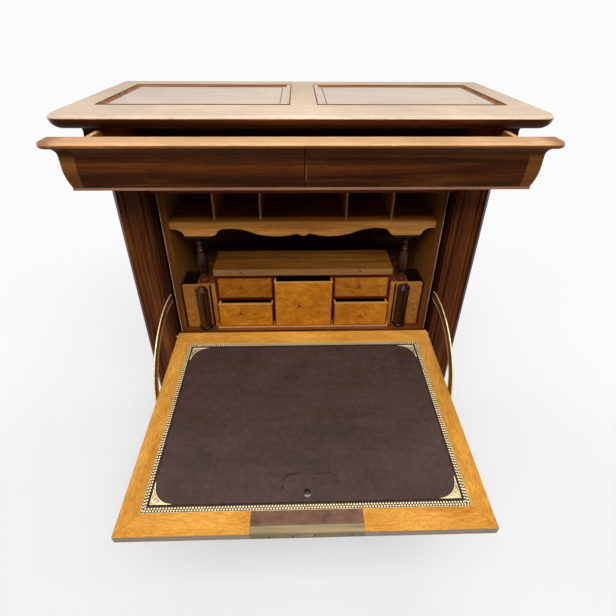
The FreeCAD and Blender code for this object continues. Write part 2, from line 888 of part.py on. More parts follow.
apron = prism("apron", "XZ_Plane", apron_outline(), S.apron_front_depth, apron_back)
apron_foot = shelf_top - S.apron_height
bind(apron, "Placement.Base.z", apron_foot)
node("apron", apron)

# Nest of small drawers
base_top = deck_top + S.nest_base_height
ceiling_foot = base_top + S.small_lower_height + S.small_rail_thick + S.small_upper_height
nest_top_foot = ceiling_foot + S.nest_ceiling_thick
nest_half = gallery_in - S.bay_width
nest_in = nest_half - S.nest_wall_thick
nest_base_outline = [
    (S.gallery_front_depth, 0),
    (S.gallery_front_depth, S.nest_base_height - S.nest_base_bevel_width),
    (S.gallery_front_depth + S.nest_base_bevel_width, S.nest_base_height),
    (S.nest_back_depth, S.nest_base_height),
    (S.nest_back_depth, 0),
]
nest_base = prism("nest_base", "YZ_Plane", nest_base_outline, -nest_half, nest_half)
bind(nest_base, "Placement.Base.z", deck_top)
node("nest_base", nest_base)
nest_inner_back = S.nest_back_depth - S.nest_wall_thick
nest_span = (base_top, nest_top_foot)
centre_half = S.centre_drawer_share * nest_half
partition_out = centre_half + S.nest_wall_thick
nest_depth = (S.nest_front_depth, nest_inner_back)
nest_boards = board_pair("nest_wall", (nest_in, nest_half), (S.nest_front_depth, S.nest_back_depth),
                         nest_span)
nest_boards += board_pair("nest_partition", (centre_half, partition_out), nest_depth, nest_span)
nest_boards.append(board("nest_back_board", (-nest_in, nest_in), (nest_inner_back, S.nest_back_depth),
                         nest_span))
nest_boards += board_pair("nest_ceiling", (partition_out, nest_in), nest_depth, (ceiling_foot, nest_top_foot))
small_rail_foot = base_top + S.small_lower_height
nest_boards += board_pair("nest_rail", (partition_out, nest_in), (S.nest_front_depth, nest_inner_back),
                          (small_rail_foot, small_rail_foot + S.small_rail_thick))
node("nest_boards", group("nest_board_group", nest_boards))
node("nest_top", board("nest_top", (-nest_half, nest_half), (S.nest_top_front_depth, S.nest_back_depth),
                       (nest_top_foot, nest_top_foot + S.nest_top_thick)))


def small_drawer(label, across, high, pull):
    """A small drawer in its opening: a front and an open box, pulled out by the given amount."""
    gap = S.running_gap
    low, top = across[0] + gap, across[1] - gap
    foot, head = high[0] + gap, high[1] - gap
    face = S.nest_front_depth - pull
    front = board(f"{label}_front", (low, top), (face, face + S.small_front_thick), (foot, head))
    box = drawer_box(
        f"{label}_box", (low, top), (face + S.small_front_thick, nest_inner_back - pull - gap),
        (foot, head - S.small_front_drop_height), S.small_side_thick, (foot, S.small_bottom_thick))
    node(label, group(f"{label}_boards", [front] + box))


lower_span = (base_top, small_rail_foot)
upper_span = (small_rail_foot + S.small_rail_thick, ceiling_foot)
for word, across in (("left", (-nest_in, -partition_out)), ("right", (partition_out, nest_in))):
    small_drawer(f"upper_{word}_drawer", across, upper_span, 0)
    small_drawer(f"lower_{word}_drawer", across, lower_span, S.small_pull_length)
small_drawer("centre_drawer", (-centre_half, centre_half), (base_top, ceiling_foot), S.small_pull_length)

# Bays for the document boxes
bay_in = nest_half + S.bay_partition_thick
bay_head = deck_top + S.bay_height
bay_deep = (S.bay_cap_front_depth, S.nest_back_depth)
bays = board_pair("bay_partition", (nest_half, bay_in), bay_deep, (deck_top, bay_head))
bays += board_pair("bay_cap", (nest_half, nest_half + S.bay_cap_width), bay_deep,
                   (bay_head, bay_head + S.bay_cap_thick))
node("bay_boards", group("bay_board_group", bays))


def column_outline(height):
    """Half section of a turned column, from its foot to its cap."""
    stem = S.column_stem_radius
    neck = S.column_neck_radius
    ball_half = S.column_ball_share * height
    ball_centre = S.column_ball_centre_share * height
    cap_foot = height - S.column_cap_share * height
    collar_half = S.column_collar_share * height / 2
    return [
        (0, 0),
        (S.column_foot_radius, 0),
        (S.column_foot_radius, S.column_foot_share * height),
        (neck, S.column_foot_top_share * height),
        (neck, S.column_vase_foot_share * height, -S.column_vase_bow_depth),
        (S.column_vase_radius, S.column_vase_belly_share * height),
        (neck, S.column_vase_top_share * height),
        (stem, ball_centre - ball_half, -S.column_ball_bow_depth),
        (stem, ball_centre + ball_half),
        (stem, cap_foot - 2 * collar_half),
        (S.column_collar_radius, cap_foot - collar_half),
        (stem, cap_foot),
        (S.column_cap_radius, cap_foot),
        (S.column_cap_radius, height),
        (0, height),
    ]


column_across = bay_in + S.column_inset_width
column_foot = bay_head + S.bay_cap_thick
column_head = apron_foot - S.abacus_thick
abacus_out = gallery_in - S.apron_end_flat_width - S.apron_end_cove_width
columns = board_pair("abacus", (abacus_out - S.apron_foot_width, abacus_out),
                     (S.apron_front_depth, S.apron_front_depth + S.abacus_depth), (column_head, apron_foot))
for word, side in (("left", -1), ("right", 1)):
    columns.append(turning(f"column_{word}", column_outline(column_head - column_foot), 360,
                           (side * column_across, S.column_depth, column_foot)))
node("columns", group("column_pair", columns))


# Document boxes with half columns on their fronts

def half_column_outline(height):
    ring = S.half_column_radius + S.half_column_ring_width
    cap_foot = height - S.half_column_cap_height
    return [
        (0, 0),
        (ring, 0),
        (ring, S.half_column_foot_height),
        (S.half_column_radius, S.half_column_foot_height + S.half_column_ring_width),
        (S.half_column_radius, cap_foot - S.half_column_ring_width),
        (ring, cap_foot),
        (S.half_column_radius / 2, height),
        (0, height),
    ]


box_span = (deck_top + S.running_gap, bay_head - S.running_gap)
box_in = bay_in + S.box_inner_gap
box_out = gallery_in - S.box_outer_gap
half_column_across = box_in + S.half_column_inset_width
for word, side, pull in (("left", -1, S.left_box_pull_length), ("right", 1, S.right_box_pull_length)):
    across = (-box_out, -box_in) if side < 0 else (box_in, box_out)
    box_face = S.box_front_depth - pull
    box_back = nest_inner_back - pull
    front = board(f"{word}_box_front", across, (box_face, box_face + S.box_front_thick), box_span)
    walls = drawer_box(f"{word}_box", across, (box_face + S.box_front_thick, box_back), box_span,
                       S.box_side_thick, (box_span[0], S.small_bottom_thick))
    node(f"{word}_document_box", group(f"{word}_document_box_boards", [front] + walls))
    half_column = turning(f"{word}_half_column", half_column_outline(box_span[1] - box_span[0]), 180,
                          (side * half_column_across, box_face, box_span[0]))
    node(f"{word}_half_column", half_column)

# Long drawers
long_words = ("lower", "middle", "upper")
for index, word in enumerate(long_words):
    gap = S.running_gap
    foot = case_foot + index * level_step + gap
    head = foot + S.long_opening_height - 2 * gap
    thickness = (0, S.long_front_thick)
    front = board(f"{word}_long_front_board", (-front_half, front_half), thickness, (foot, head))
    hole_half = S.keyhole_width / 2
    hole_head = head - S.keyhole_height
    keyhole = board(f"{word}_long_keyhole", (-hole_half, hole_half), thickness,
                    (hole_head - S.keyhole_height, hole_head))
    node(f"{word}_long_front", cut(f"{word}_long_front_pierced", front, keyhole))
    node(f"{word}_long_box", group(f"{word}_long_box_boards", drawer_box(
        f"{word}_long_box", (-box_half, box_half), (S.long_front_thick, back_in - S.drawer_back_gap),
        (foot, foot + S.long_side_height), S.long_side_thick, (foot, S.long_bottom_thick))))

# Fall: pieces are drawn about the pivot line, level, and then droop together.
# Y is negative towards the free edge; the writing surface is the upper face.
half_fall = opening_half - S.fall_side_gap
half_thick = S.fall_thick / 2
panel_half = half_fall - S.fall_border_width
edge = S.fall_length
inner_edge = edge - S.fall_border_width
lock_half = S.lock_block_width / 2
full_thick = (-half_thick, half_thick)


def hang(label, pieces):
    """Hang level pieces on the pivot line."""
    hung = group(f"{label}_hung", pieces)
    hung.Placement = FreeCAD.Placement(FreeCAD.Vector(), FreeCAD.Rotation(X_AXIS, S.fall_droop_angle.value))
    bind(hung, "Placement.Rotation.Angle", S.fall_droop_angle)
    place(hung, 0, pivot_deep, pivot_high)
    node(label, hung)


rear_outline = [
    (-S.fall_border_width, -half_thick),
    (0, -half_thick, -half_thick),
    (0, half_thick),
    (-S.fall_border_width, half_thick),
]
rear_rail = prism("rear_rail", "YZ_Plane", rear_outline, -half_fall, half_fall)
pin_radius = S.pivot_diameter / 2
pin_length = opening_half - half_fall + 2 * S.pivot_seat_length
pin_start = half_fall - S.pivot_seat_length
for word, start in (("left", -half_fall), ("right", pin_start)):
    rear_rail = cut(f"rear_rail_bored_{word}", rear_rail,
                    rod(f"rear_rail_hole_{word}", pin_radius, S.pivot_seat_length, start, 0, 0))
hang("fall_rear_rail", [rear_rail])
hang("fall_pivots", [
    rod("pivot_left", pin_radius, pin_length, -pin_start - pin_length, 0, 0),
    rod("pivot_right", pin_radius, pin_length, pin_start, 0, 0),
])

side_rails = []
front_rails = []
for word, side in (("left", -1), ("right", 1)):
    side_rails.append(prism(f"fall_side_{word}", "XY_Plane", [
        (side * half_fall, -S.fall_border_width),
        (side * panel_half, -S.fall_border_width),
        (side * panel_half, -inner_edge),
        (side * half_fall, -edge),
    ], *full_thick))
    front_rails.append(prism(f"fall_front_{word}", "XY_Plane", [
        (side * half_fall, -edge),
        (side * panel_half, -inner_edge),
        (side * lock_half, -inner_edge),
        (side * lock_half, -edge),
    ], *full_thick))
hang("fall_side_rails", side_rails)
hang("fall_front_rail", front_rails)

plate_edge = edge - S.selvedge_thick
lock_span = (-S.lock_thick / 2, S.lock_thick / 2)
lock_across = (-S.lock_width / 2, S.lock_width / 2)
lock_deep = (-plate_edge, S.lock_depth - plate_edge)
lock_block = cut("lock_block_pocketed",
                 board("lock_block_board", (-lock_half, lock_half), (-plate_edge, -inner_edge), full_thick),
                 board("lock_block_pocket", lock_across, lock_deep, lock_span))
flange_deep = (-plate_edge, S.selvedge_flange_width - plate_edge)
flange_span = (half_thick - S.selvedge_thick, half_thick)
flange = board("selvedge_flange", (-lock_half, lock_half), flange_deep, flange_span)
hang("lock_block", [cut("lock_block_rebated", lock_block, flange)])
bolt_half = S.bolt_width / 2 + S.bolt_gap
bolt_high = S.bolt_thick / 2 + S.bolt_gap
slot_across = (-bolt_half, bolt_half)
slot_span = (-bolt_high, bolt_high)
lock_case = cut("lock_case_slotted", board("lock_case_block", lock_across, lock_deep, lock_span),
                board("lock_case_slot", slot_across,
                      (-plate_edge, S.bolt_length + S.bolt_slot_gap - plate_edge), slot_span))
hang("lock_case", [lock_case])
plate_deep = (-edge, -plate_edge)
selvedge = cut("selvedge_pierced", board("selvedge_strip", (-lock_half, lock_half), plate_deep, full_thick),
               board("selvedge_window", slot_across, plate_deep, slot_span))
hang("lock_selvedge", [fuse("selvedge_angle", [selvedge, flange])])
hang("lock_bolt", [board("bolt_block", (-S.bolt_width / 2, S.bolt_width / 2),
                         (-edge, S.bolt_length - edge), (-S.bolt_thick / 2, S.bolt_thick / 2))])

panel_deep = (-inner_edge, -S.fall_border_width)
panel_across = (-panel_half, panel_half)
leather_foot = half_thick - S.leather_thick
panel_foot = leather_foot - S.fall_panel_thick
hang("fall_panel", [board("fall_panel_board", panel_across, panel_deep, (panel_foot, leather_foot))])
hang("writing_leather", [board("leather_sheet", panel_across, panel_deep, (leather_foot, half_thick))])
outer_block = board("fall_moulding_block", panel_across, panel_deep, (-half_thick, panel_foot))
outer_inset = S.moulding_flat_width
outer_width = S.fall_moulding_width
outer_opening = frustum(
    "fall_moulding_opening",
    (outer_inset - panel_half, panel_half - outer_inset),
    (outer_inset - inner_edge, -S.fall_border_width - outer_inset),
    (outer_width - panel_half, panel_half - outer_width),
    (outer_width - inner_edge, -S.fall_border_width - outer_width),
    (-half_thick, panel_foot))
hang("fall_moulding", [cut("fall_moulding_frame", outer_block, outer_opening)])


def stay(name, start):
    """A curved flat bar: part of a ring about a point below and ahead of the pivot line."""
    half_width = S.stay_width / 2
    centre = (start, -S.stay_centre_out, -S.stay_centre_drop)
    reach = S.stay_radius + half_width
    ring = cut(f"{name}_ring", rod(f"{name}_rim", reach, S.stay_thick, *centre),
               rod(f"{name}_bore", S.stay_radius - half_width, S.stay_thick, *centre))
    window = board(f"{name}_window", (start, start + S.stay_thick),
                   (-reach - S.stay_centre_out, S.stay_tail_depth), (-half_thick, reach))
    return common(name, [ring, window])


hang("fall_stays", [stay("stay_left", -half_fall - S.stay_thick), stay("stay_right", half_fall)])

# Build, look for faults and write one file for each node
doc.recompute()
faults = [item.Label for item in doc.Objects if "Invalid" in item.State or "Error" in item.State]
faults += [piece.Label for piece in nodes if piece.Shape.isNull() or not piece.Shape.isValid()]
faults += [piece.Label for piece in nodes if not piece.Shape.Solids]
if faults:
    raise SystemExit(f"faults in {sorted(set(faults))}")
os.makedirs("parts", exist_ok=True)
for piece in nodes:
    piece.Shape.exportStep(f"parts/{piece.Label}.step")
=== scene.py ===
import math
from collections import namedtuple

import bpy
from mathutils import Matrix, Vector


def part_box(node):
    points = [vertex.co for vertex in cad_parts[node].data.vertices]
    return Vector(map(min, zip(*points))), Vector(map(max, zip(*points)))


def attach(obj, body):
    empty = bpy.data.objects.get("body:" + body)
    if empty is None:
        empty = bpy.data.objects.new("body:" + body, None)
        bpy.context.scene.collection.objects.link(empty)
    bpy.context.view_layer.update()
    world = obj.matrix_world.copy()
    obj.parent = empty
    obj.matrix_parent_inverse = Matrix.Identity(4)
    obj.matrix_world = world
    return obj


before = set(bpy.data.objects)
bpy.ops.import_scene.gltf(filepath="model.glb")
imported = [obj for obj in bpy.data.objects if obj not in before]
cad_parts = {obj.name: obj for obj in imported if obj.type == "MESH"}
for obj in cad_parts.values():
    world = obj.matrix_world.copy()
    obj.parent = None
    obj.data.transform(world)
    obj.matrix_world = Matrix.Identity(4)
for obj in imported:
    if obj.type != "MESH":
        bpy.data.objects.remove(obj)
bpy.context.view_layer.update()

# This script dresses the escritoire's CAD frame with finishes and thin trim, and adds floor, light and camera
X, Y, Z = range(3)


def tone(red, green, blue):
    """A colour as it looks on screen, turned into linear values."""
    def linear(value):
        share = value / 255
        return share / 12.92 if share <= 0.04045 else ((share + 0.055) / 1.055) ** 2.4
    return (linear(red), linear(green), linear(blue), 1.0)


def grey(value):
    """A linear value, for a ramp that feeds a plain number."""
    return (value, value, value, 1)


def add_object(name, data):
    item = bpy.data.objects.new(name, data)
    bpy.context.scene.collection.objects.link(item)
    return item


# Shader helpers
WHITE = tone(255, 255, 255)

# Sockets of the mix node, which has a set of them for each kind of value
VECTOR_INPUTS, VECTOR_RESULT = (0, 4, 5), 1
COLOUR_INPUTS, COLOUR_RESULT = (0, 6, 7), 2


class Nodes:
    """A node tree under construction, with short names for its nodes."""

    def __init__(self, tree):
        self.tree = tree

    def add(self, kind, **values):
        item = self.tree.nodes.new(kind)
        for key, value in values.items():
            setattr(item, key, value)
        return item

    def join(self, source, target):
        self.tree.links.new(source, target)

    def feed(self, socket, value):
        """Link a socket to another one, or give it a constant."""
        if isinstance(value, bpy.types.NodeSocket):
            self.join(value, socket)
        else:
            socket.default_value = value

    def math(self, operation, *values):
        item = self.add("ShaderNodeMath", operation=operation)
        for socket, value in zip(item.inputs, values):
            self.feed(socket, value)
        return item.outputs[0]

    def mix_shaders(self, factor, first, second):
        item = self.add("ShaderNodeMixShader")
        for socket, source in zip(item.inputs, (factor, first.outputs[0], second.outputs[0])):
            self.join(source, socket)
        return item

    def seen_rays(self):
        """1 for rays that show a background, straight or in gloss and glass; 0 for the others."""
        rays = self.add("ShaderNodeLightPath").outputs
        seen = self.math("MAXIMUM", rays["Is Camera Ray"], rays["Is Glossy Ray"])
        return self.math("MAXIMUM", seen, rays["Is Transmission Ray"])


class Shader(Nodes):
    """A material under construction; place is in metres from the desk's origin, at rest."""

    def __init__(self, name):
        self.material = bpy.data.materials.new(name)
        self.material.use_nodes = True
        super().__init__(self.material.node_tree)
        self.surface = self.tree.nodes["Principled BSDF"]
        coordinates = self.add("ShaderNodeTexCoord").outputs
        self.place = coordinates["Object"]
        self.normal = coordinates["Normal"]

    def split(self, vector):
        item = self.add("ShaderNodeSeparateXYZ")
        self.join(vector, item.inputs[0])
        return item.outputs

    def moved(self, vector, way):
        item = self.add("ShaderNodeVectorMath", operation="ADD")
        self.join(vector, item.inputs[0])
        item.inputs[1].default_value = way
        return item.outputs[0]

    def mapped(self, vector, scale):
        item = self.add("ShaderNodeMapping")
        self.join(vector, item.inputs["Vector"])
        item.inputs["Scale"].default_value = scale
        return item.outputs[0]

    def noise(self, vector, scale, detail, roughness, distortion=0.0):
        item = self.add("ShaderNodeTexNoise")
        self.join(vector, item.inputs["Vector"])
        item.inputs["Scale"].default_value = scale
        item.inputs["Detail"].default_value = detail
        item.inputs["Roughness"].default_value = roughness
        item.inputs["Distortion"].default_value = distortion
        return item.outputs[0]

    def smooth_step(self, value, low, high):
        """0 up to low and 1 from high; with low above high it falls instead of rising."""
        item = self.add("ShaderNodeMapRange", interpolation_type="SMOOTHSTEP")
        self.join(value, item.inputs[0])
        item.inputs[1].default_value = low
        item.inputs[2].default_value = high
        return item.outputs[0]

    def ramp(self, factor, stops):
        item = self.add("ShaderNodeValToRGB")
        self.join(factor, item.inputs[0])
        elements = item.color_ramp.elements
        while len(elements) < len(stops):
            elements.new(0.5)
        for element, (place, colour) in zip(elements, stops):
            element.position = place
            element.color = colour
        return item.outputs[0]

    def mix(self, factor, first, second, blend="MIX"):
        item = self.add("ShaderNodeMix", data_type="RGBA", blend_type=blend)
        for index, value in zip(COLOUR_INPUTS, (factor, first, second)):
            self.feed(item.inputs[index], value)
        return item.outputs[COLOUR_RESULT]

    def choose(self, factor, first, second):
        """The first vector where the factor is 0, the second where it is 1."""
        item = self.add("ShaderNodeMix", data_type="VECTOR")
        for index, value in zip(VECTOR_INPUTS, (factor, first, second)):
            self.join(value, item.inputs[index])
        return item.outputs[VECTOR_RESULT]

    def darken(self, share, colour, shade):
        return self.mix(share, colour, shade, "MULTIPLY")

    def paint(self, colour, zones):
        """A colour with the tone of each zone laid over it."""
        for zone, paint in zones:
            colour = self.mix(zone(self), colour, paint)
        return colour

    def dress(self, values):
        """Feed the surface's sockets by their names."""
        for name, value in values.items():
            self.feed(self.surface.inputs[name], value)

    def bump(self, height, strength, distance):
        item = self.add("ShaderNodeBump")
        item.inputs["Strength"].default_value = strength
        item.inputs["Distance"].default_value = distance
        self.join(height, item.inputs["Height"])
        self.join(item.outputs[0], self.surface.inputs["Normal"])


# Zones: each says where on a piece a second tone lies. A negative softness turns an edge round.

def facing(axis, low, high):
    return lambda shader: shader.smooth_step(shader.split(shader.normal)[axis], low, high)


def up_faces(low=0.6, high=0.85):
    return facing(Z, low, high)


def down_faces(low=0.4, high=0.7):
    return facing(Z, -low, -high)


def back_faces(low, high):
    return facing(Y, low, high)


def front_faces(low=0.6, high=0.85):
    return facing(Y, -low, -high)


def side_faces(low, high):
    return lambda shader: shader.smooth_step(
        shader.math("ABSOLUTE", shader.split(shader.normal)[X]), low, high)


def past(axis, edge, soft):
    return lambda shader: shader.smooth_step(shader.split(shader.place)[axis], edge - soft, edge + soft)


def above(height, soft=0.0005):
    return past(Z, height, soft)


def below(height, soft=0.0005):
    return past(Z, height, -soft)


def behind(depth, soft=0.001):
    return past(Y, depth, soft)


def ahead(depth, soft=0.001):
    return past(Y, depth, -soft)


def beyond(across, half, soft=0.0006):
    """Further than a half width from an upright line."""
    def zone(shader):
        reach = shader.math("ABSOLUTE", shader.math("SUBTRACT", shader.split(shader.place)[X], across))
        return shader.smooth_step(reach, half - soft, half + soft)
    return zone


def strip_at(across, half, soft=0.0006):
    return beyond(across, half, -soft)


def outside(half, soft=0.0005):
    return beyond(0.0, half, soft)


def inside(half, soft=0.0005):
    return beyond(0.0, half, -soft)


def both(first, second):
    return lambda shader: shader.math("MULTIPLY", first(shader), second(shader))


# The stays are parts of a ring about this depth and height
STAY_DEPTH, STAY_HEIGHT = -0.028, 0.690
STAY_RADIUS = 0.190
STAY_FLAT_HALF, STAY_FLAT_SOFT = 0.0113, 0.0005


def stay_flat(shader):
    """The flat of a stay, between the bright lines of painted highlight along its two edges."""
    place = shader.split(shader.place)
    deep = shader.math("SUBTRACT", place[Y], STAY_DEPTH)
    high = shader.math("SUBTRACT", place[Z], STAY_HEIGHT)
    squares = [shader.math("MULTIPLY", part, part) for part in (deep, high)]
    radius = shader.math("SQRT", shader.math("ADD", *squares))
    reach = shader.math("ABSOLUTE", shader.math("SUBTRACT", radius, STAY_RADIUS))
    return shader.smooth_step(reach, STAY_FLAT_HALF + STAY_FLAT_SOFT, STAY_FLAT_HALF - STAY_FLAT_SOFT)


# Woods, each as a dark, a middle and a light tone
WALNUT = (tone(50, 21, 6), tone(84, 41, 14), tone(122, 67, 28))
FRIEZE = (tone(43, 18, 3), tone(60, 28, 7), tone(96, 52, 15))
GOLD = (tone(172, 102, 20), tone(200, 124, 30), tone(218, 146, 46))
# Golds of the upper small drawers: darker, as painted shade under the frieze and the nest's top
HALF_SHADED_GOLD = (tone(152, 90, 22), tone(180, 111, 30), tone(198, 131, 44))
SHADED_GOLD = (tone(136, 79, 18), tone(162, 97, 24), tone(180, 117, 36))
BROWN_GOLD = (tone(134, 83, 30), tone(164, 106, 42), tone(182, 125, 57))
PALE = (tone(204, 138, 52), tone(218, 153, 62), tone(230, 169, 78))
PLAIN = (tone(120, 84, 48), tone(156, 114, 70), tone(184, 146, 98))
# Pale of the top's upper faces: partly faded wood, partly painted light from above
FADED_AND_LIT = tone(203, 181, 157)
EDGE = tone(168, 148, 126)

# How closely the figure repeats along each axis
GRAIN = {"X": (1.3, 26, 26), "Y": (26, 1.3, 26), "Z": (26, 26, 1.3), "fleck": (40, 40, 66),
         "flame": (2.6, 40, 46), "fine_x": (7, 30, 30), "fine_y": (30, 7, 30)}
SHIFT_WAY = (1.0, 0.7, 1.3)
FIGURE_REACH = 0.20
FIBRE_SCALE, PORE_SCALE, CLOUD_SCALE = 9.0, 34.0, 5.0
FIBRE_SHARE, PORE_SHARE, CLOUD_SHARE = 0.55, 0.45, 0.6
ZONE_GRAIN = 0.6
SIDE_FACE_FROM = 0.7
COAT_ROUGHNESS = 0.2

# Boards: how much of their shades shows, and the seam's two limits as shares of a board
BOARD_SHADE_SHARE = 0.8
SEAM_FROM, SEAM_TO = 0.010, 0.004


def grain_places(shader, places, axis):
    """Places stretched along the grain; the grain of a board box turns with its sides."""
    if axis != "board":
        return shader.mapped(places, GRAIN[axis])
    across = shader.mapped(places, GRAIN["X"])
    deep = shader.mapped(places, GRAIN["Y"])
    sideways = shader.math("ABSOLUTE", shader.split(shader.normal)[X])
    return shader.choose(shader.math("GREATER_THAN", sideways, SIDE_FACE_FROM), across, deep)


def in_boards(shader, colour, width):
    """Upright boards side by side, some darker, with a dark seam between them."""
    counted = shader.math("ADD", shader.math("DIVIDE", shader.split(shader.place)[X], width), 0.5)
    chance = shader.add("ShaderNodeTexWhiteNoise", noise_dimensions="1D")
    shader.join(shader.math("FLOOR", counted), chance.inputs["W"])
    shade = shader.ramp(chance.outputs["Value"], [(0.0, tone(176, 168, 158)), (1.0, WHITE)])
    colour = shader.darken(BOARD_SHADE_SHARE, colour, shade)
    from_middle = shader.math("ABSOLUTE", shader.math("SUBTRACT", shader.math("FRACT", counted), 0.5))
    seam = shader.smooth_step(shader.math("SUBTRACT", 0.5, from_middle), SEAM_FROM, SEAM_TO)
    return shader.mix(seam, colour, tone(40, 26, 14))


def wood(name, dark, middle, light, axis="X", rough=0.42, coat=0.0, figure=1.0, contrast=1.0, gloss=0.05,
         grain=1.0, boards=None, zones=(), shift=0.0):
    """Polished wood with streaked grain.

    A zone's paint is one tone, or three that follow the figure. shift moves the figure, so that pieces
    with the same tones differ. boards is the width of the boards that a piece is made of.
    """
    shader = Shader(name)
    places = shader.moved(shader.place, [shift * part for part in SHIFT_WAY])
    along = grain_places(shader, places, axis)
    wide = shader.noise(along, scale=figure, detail=5, roughness=0.6, distortion=0.9)
    fine = shader.noise(along, scale=FIBRE_SCALE, detail=3, roughness=0.7, distortion=0.2)
    pores = shader.noise(along, scale=PORE_SCALE, detail=2, roughness=0.6, distortion=0.1)
    cloud = shader.noise(places, scale=CLOUD_SCALE, detail=3, roughness=0.5)
    fibre = shader.ramp(fine, [(0.32, tone(150, 140, 130)), (0.62, WHITE)])
    specks = shader.ramp(pores, [(0.30, tone(120, 105, 95)), (0.46, WHITE)])
    worn = shader.ramp(cloud, [(0.35, tone(200, 195, 190)), (0.65, WHITE)])
    reach = FIGURE_REACH / contrast

    def figured(tones):
        return shader.ramp(wide, list(zip((0.5 - reach, 0.5, 0.5 + reach), tones)))

    def grained(colour, share):
        colour = shader.darken(FIBRE_SHARE * share, colour, fibre)
        colour = shader.darken(PORE_SHARE * share, colour, specks)
        return shader.darken(CLOUD_SHARE * share, colour, worn)

    base = figured((dark, middle, light))
    if boards is not None:
        base = in_boards(shader, base, boards)
    painted = []
    for zone, paint in zones:
        colour = figured(paint) if len(paint) == len(WALNUT) else paint
        painted.append((zone, grained(colour, ZONE_GRAIN * grain)))
    shader.dress({
        "Base Color": shader.paint(grained(base, grain), painted),
        "Roughness": shader.ramp(cloud, [(0.3, grey(rough - 0.07)), (0.7, grey(rough + 0.1))]),
        "Specular IOR Level": gloss, "Coat Weight": coat, "Coat Roughness": COAT_ROUGHNESS,
    })
    shader.bump(fine, strength=0.12, distance=0.0004)
    return shader.material


FLAT_SPOT_SHARE = 0.6


def brass(name, base, shine, rough=0.36, patch_scale=(60, 60, 60), flat_tone=None, metal=0.5):
    """Aged brass with patches of tarnish; flat_tone is the darker tone of a stay's flat sides, partly patina
    and partly painted shade.
    """
    shader = Shader(name)
    places = shader.mapped(shader.place, patch_scale)
    patches = shader.noise(places, scale=1.0, detail=5, roughness=0.65, distortion=0.4)
    colour = shader.ramp(patches, [(0.35, base), (0.65, shine)])
    if flat_tone is not None:
        shade = shader.ramp(patches, [(0.3, tone(150, 140, 120)), (0.7, WHITE)])
        spots = shader.darken(FLAT_SPOT_SHARE, flat_tone, shade)
        colour = shader.paint(colour, [(both(side_faces(0.7, 0.9), stay_flat), spots)])
    shader.dress({
        "Base Color": colour, "Metallic": metal,
        "Roughness": shader.ramp(patches, [(0.3, grey(rough + 0.2)), (0.7, grey(rough))]),
    })
    shader.bump(patches, strength=0.08, distance=0.0003)
    return shader.material


LEATHER_STREAKS = (6, 45, 45)
PEBBLE_SCALE = 900
STREAK_SHARE, RUB_SHARE = 0.4, 0.7


def leather(name, zones=()):
    """Worn dark leather with a fine pebble grain."""
    shader = Shader(name)
    cloud = shader.noise(shader.place, scale=7.0, detail=5, roughness=0.6, distortion=0.6)
    streak_places = shader.mapped(shader.place, LEATHER_STREAKS)
    streaks = shader.noise(streak_places, scale=1.0, detail=4, roughness=0.6, distortion=0.5)
    rub = shader.noise(shader.place, scale=90.0, detail=4, roughness=0.7, distortion=0.3)
    pebbles = shader.add("ShaderNodeTexVoronoi")
    pebbles.inputs["Scale"].default_value = PEBBLE_SCALE
    shader.join(shader.place, pebbles.inputs["Vector"])
    colour = shader.ramp(cloud, [(0.3, tone(47, 32, 25)), (0.5, tone(60, 43, 36)), (0.7, tone(73, 53, 49))])
    streaked = shader.ramp(streaks, [(0.3, tone(54, 42, 28)), (0.7, tone(75, 55, 58))])
    rubbed = shader.ramp(rub, [(0.3, tone(186, 180, 176)), (0.62, WHITE)])
    colour = shader.darken(RUB_SHARE, shader.mix(STREAK_SHARE, colour, streaked), rubbed)
    shader.dress({"Base Color": shader.paint(colour, zones), "Roughness": 0.55, "Specular IOR Level": 0.18})
    shader.bump(pebbles.outputs["Distance"], strength=0.25, distance=0.0004)
    return shader.material


# The lock block: its grain, and the depth about which it goes to olive
BLOCK_GRAIN, BLOCK_FIBRE_SHARE = (40, 220, 220), 0.4
OLIVE_DEPTH, OLIVE_SOFT = -0.521, 0.009


def patch(name):
    """The worn block over the lock: mauve brown, going to olive near its brass edge."""
    shader = Shader(name)
    cloud = shader.noise(shader.place, scale=38.0, detail=4, roughness=0.6, distortion=0.4)
    fine = shader.noise(shader.mapped(shader.place, BLOCK_GRAIN), scale=1.0, detail=3, roughness=0.6)
    colour = shader.ramp(cloud, [(0.3, tone(82, 62, 50)), (0.5, tone(102, 75, 59)), (0.7, tone(117, 82, 65))])
    zones = [(ahead(OLIVE_DEPTH, OLIVE_SOFT), tone(116, 99, 68)), (down_faces(), WALNUT[1])]
    fibre = shader.ramp(fine, [(0.3, tone(176, 168, 156)), (0.6, WHITE)])
    colour = shader.darken(BLOCK_FIBRE_SHARE, shader.paint(colour, zones), fibre)
    shader.dress({"Base Color": colour, "Roughness": 0.55, "Specular IOR Level": 0.12})
    shader.bump(fine, strength=0.1, distance=0.0003)
    return shader.material


def plain_mark(name, first, second, rough=0.6, metal=0.0, scale=120, gloss=0.08):
    """A small part's finish: two close tones in fine patches."""
    shader = Shader(name)
    patches = shader.noise(shader.place, scale=scale, detail=4, roughness=0.6)
    colour = shader.ramp(patches, [(0.35, first), (0.65, second)])
    shader.dress({"Base Color": colour, "Roughness": rough, "Metallic": metal, "Specular IOR Level": gloss})
    return shader.material


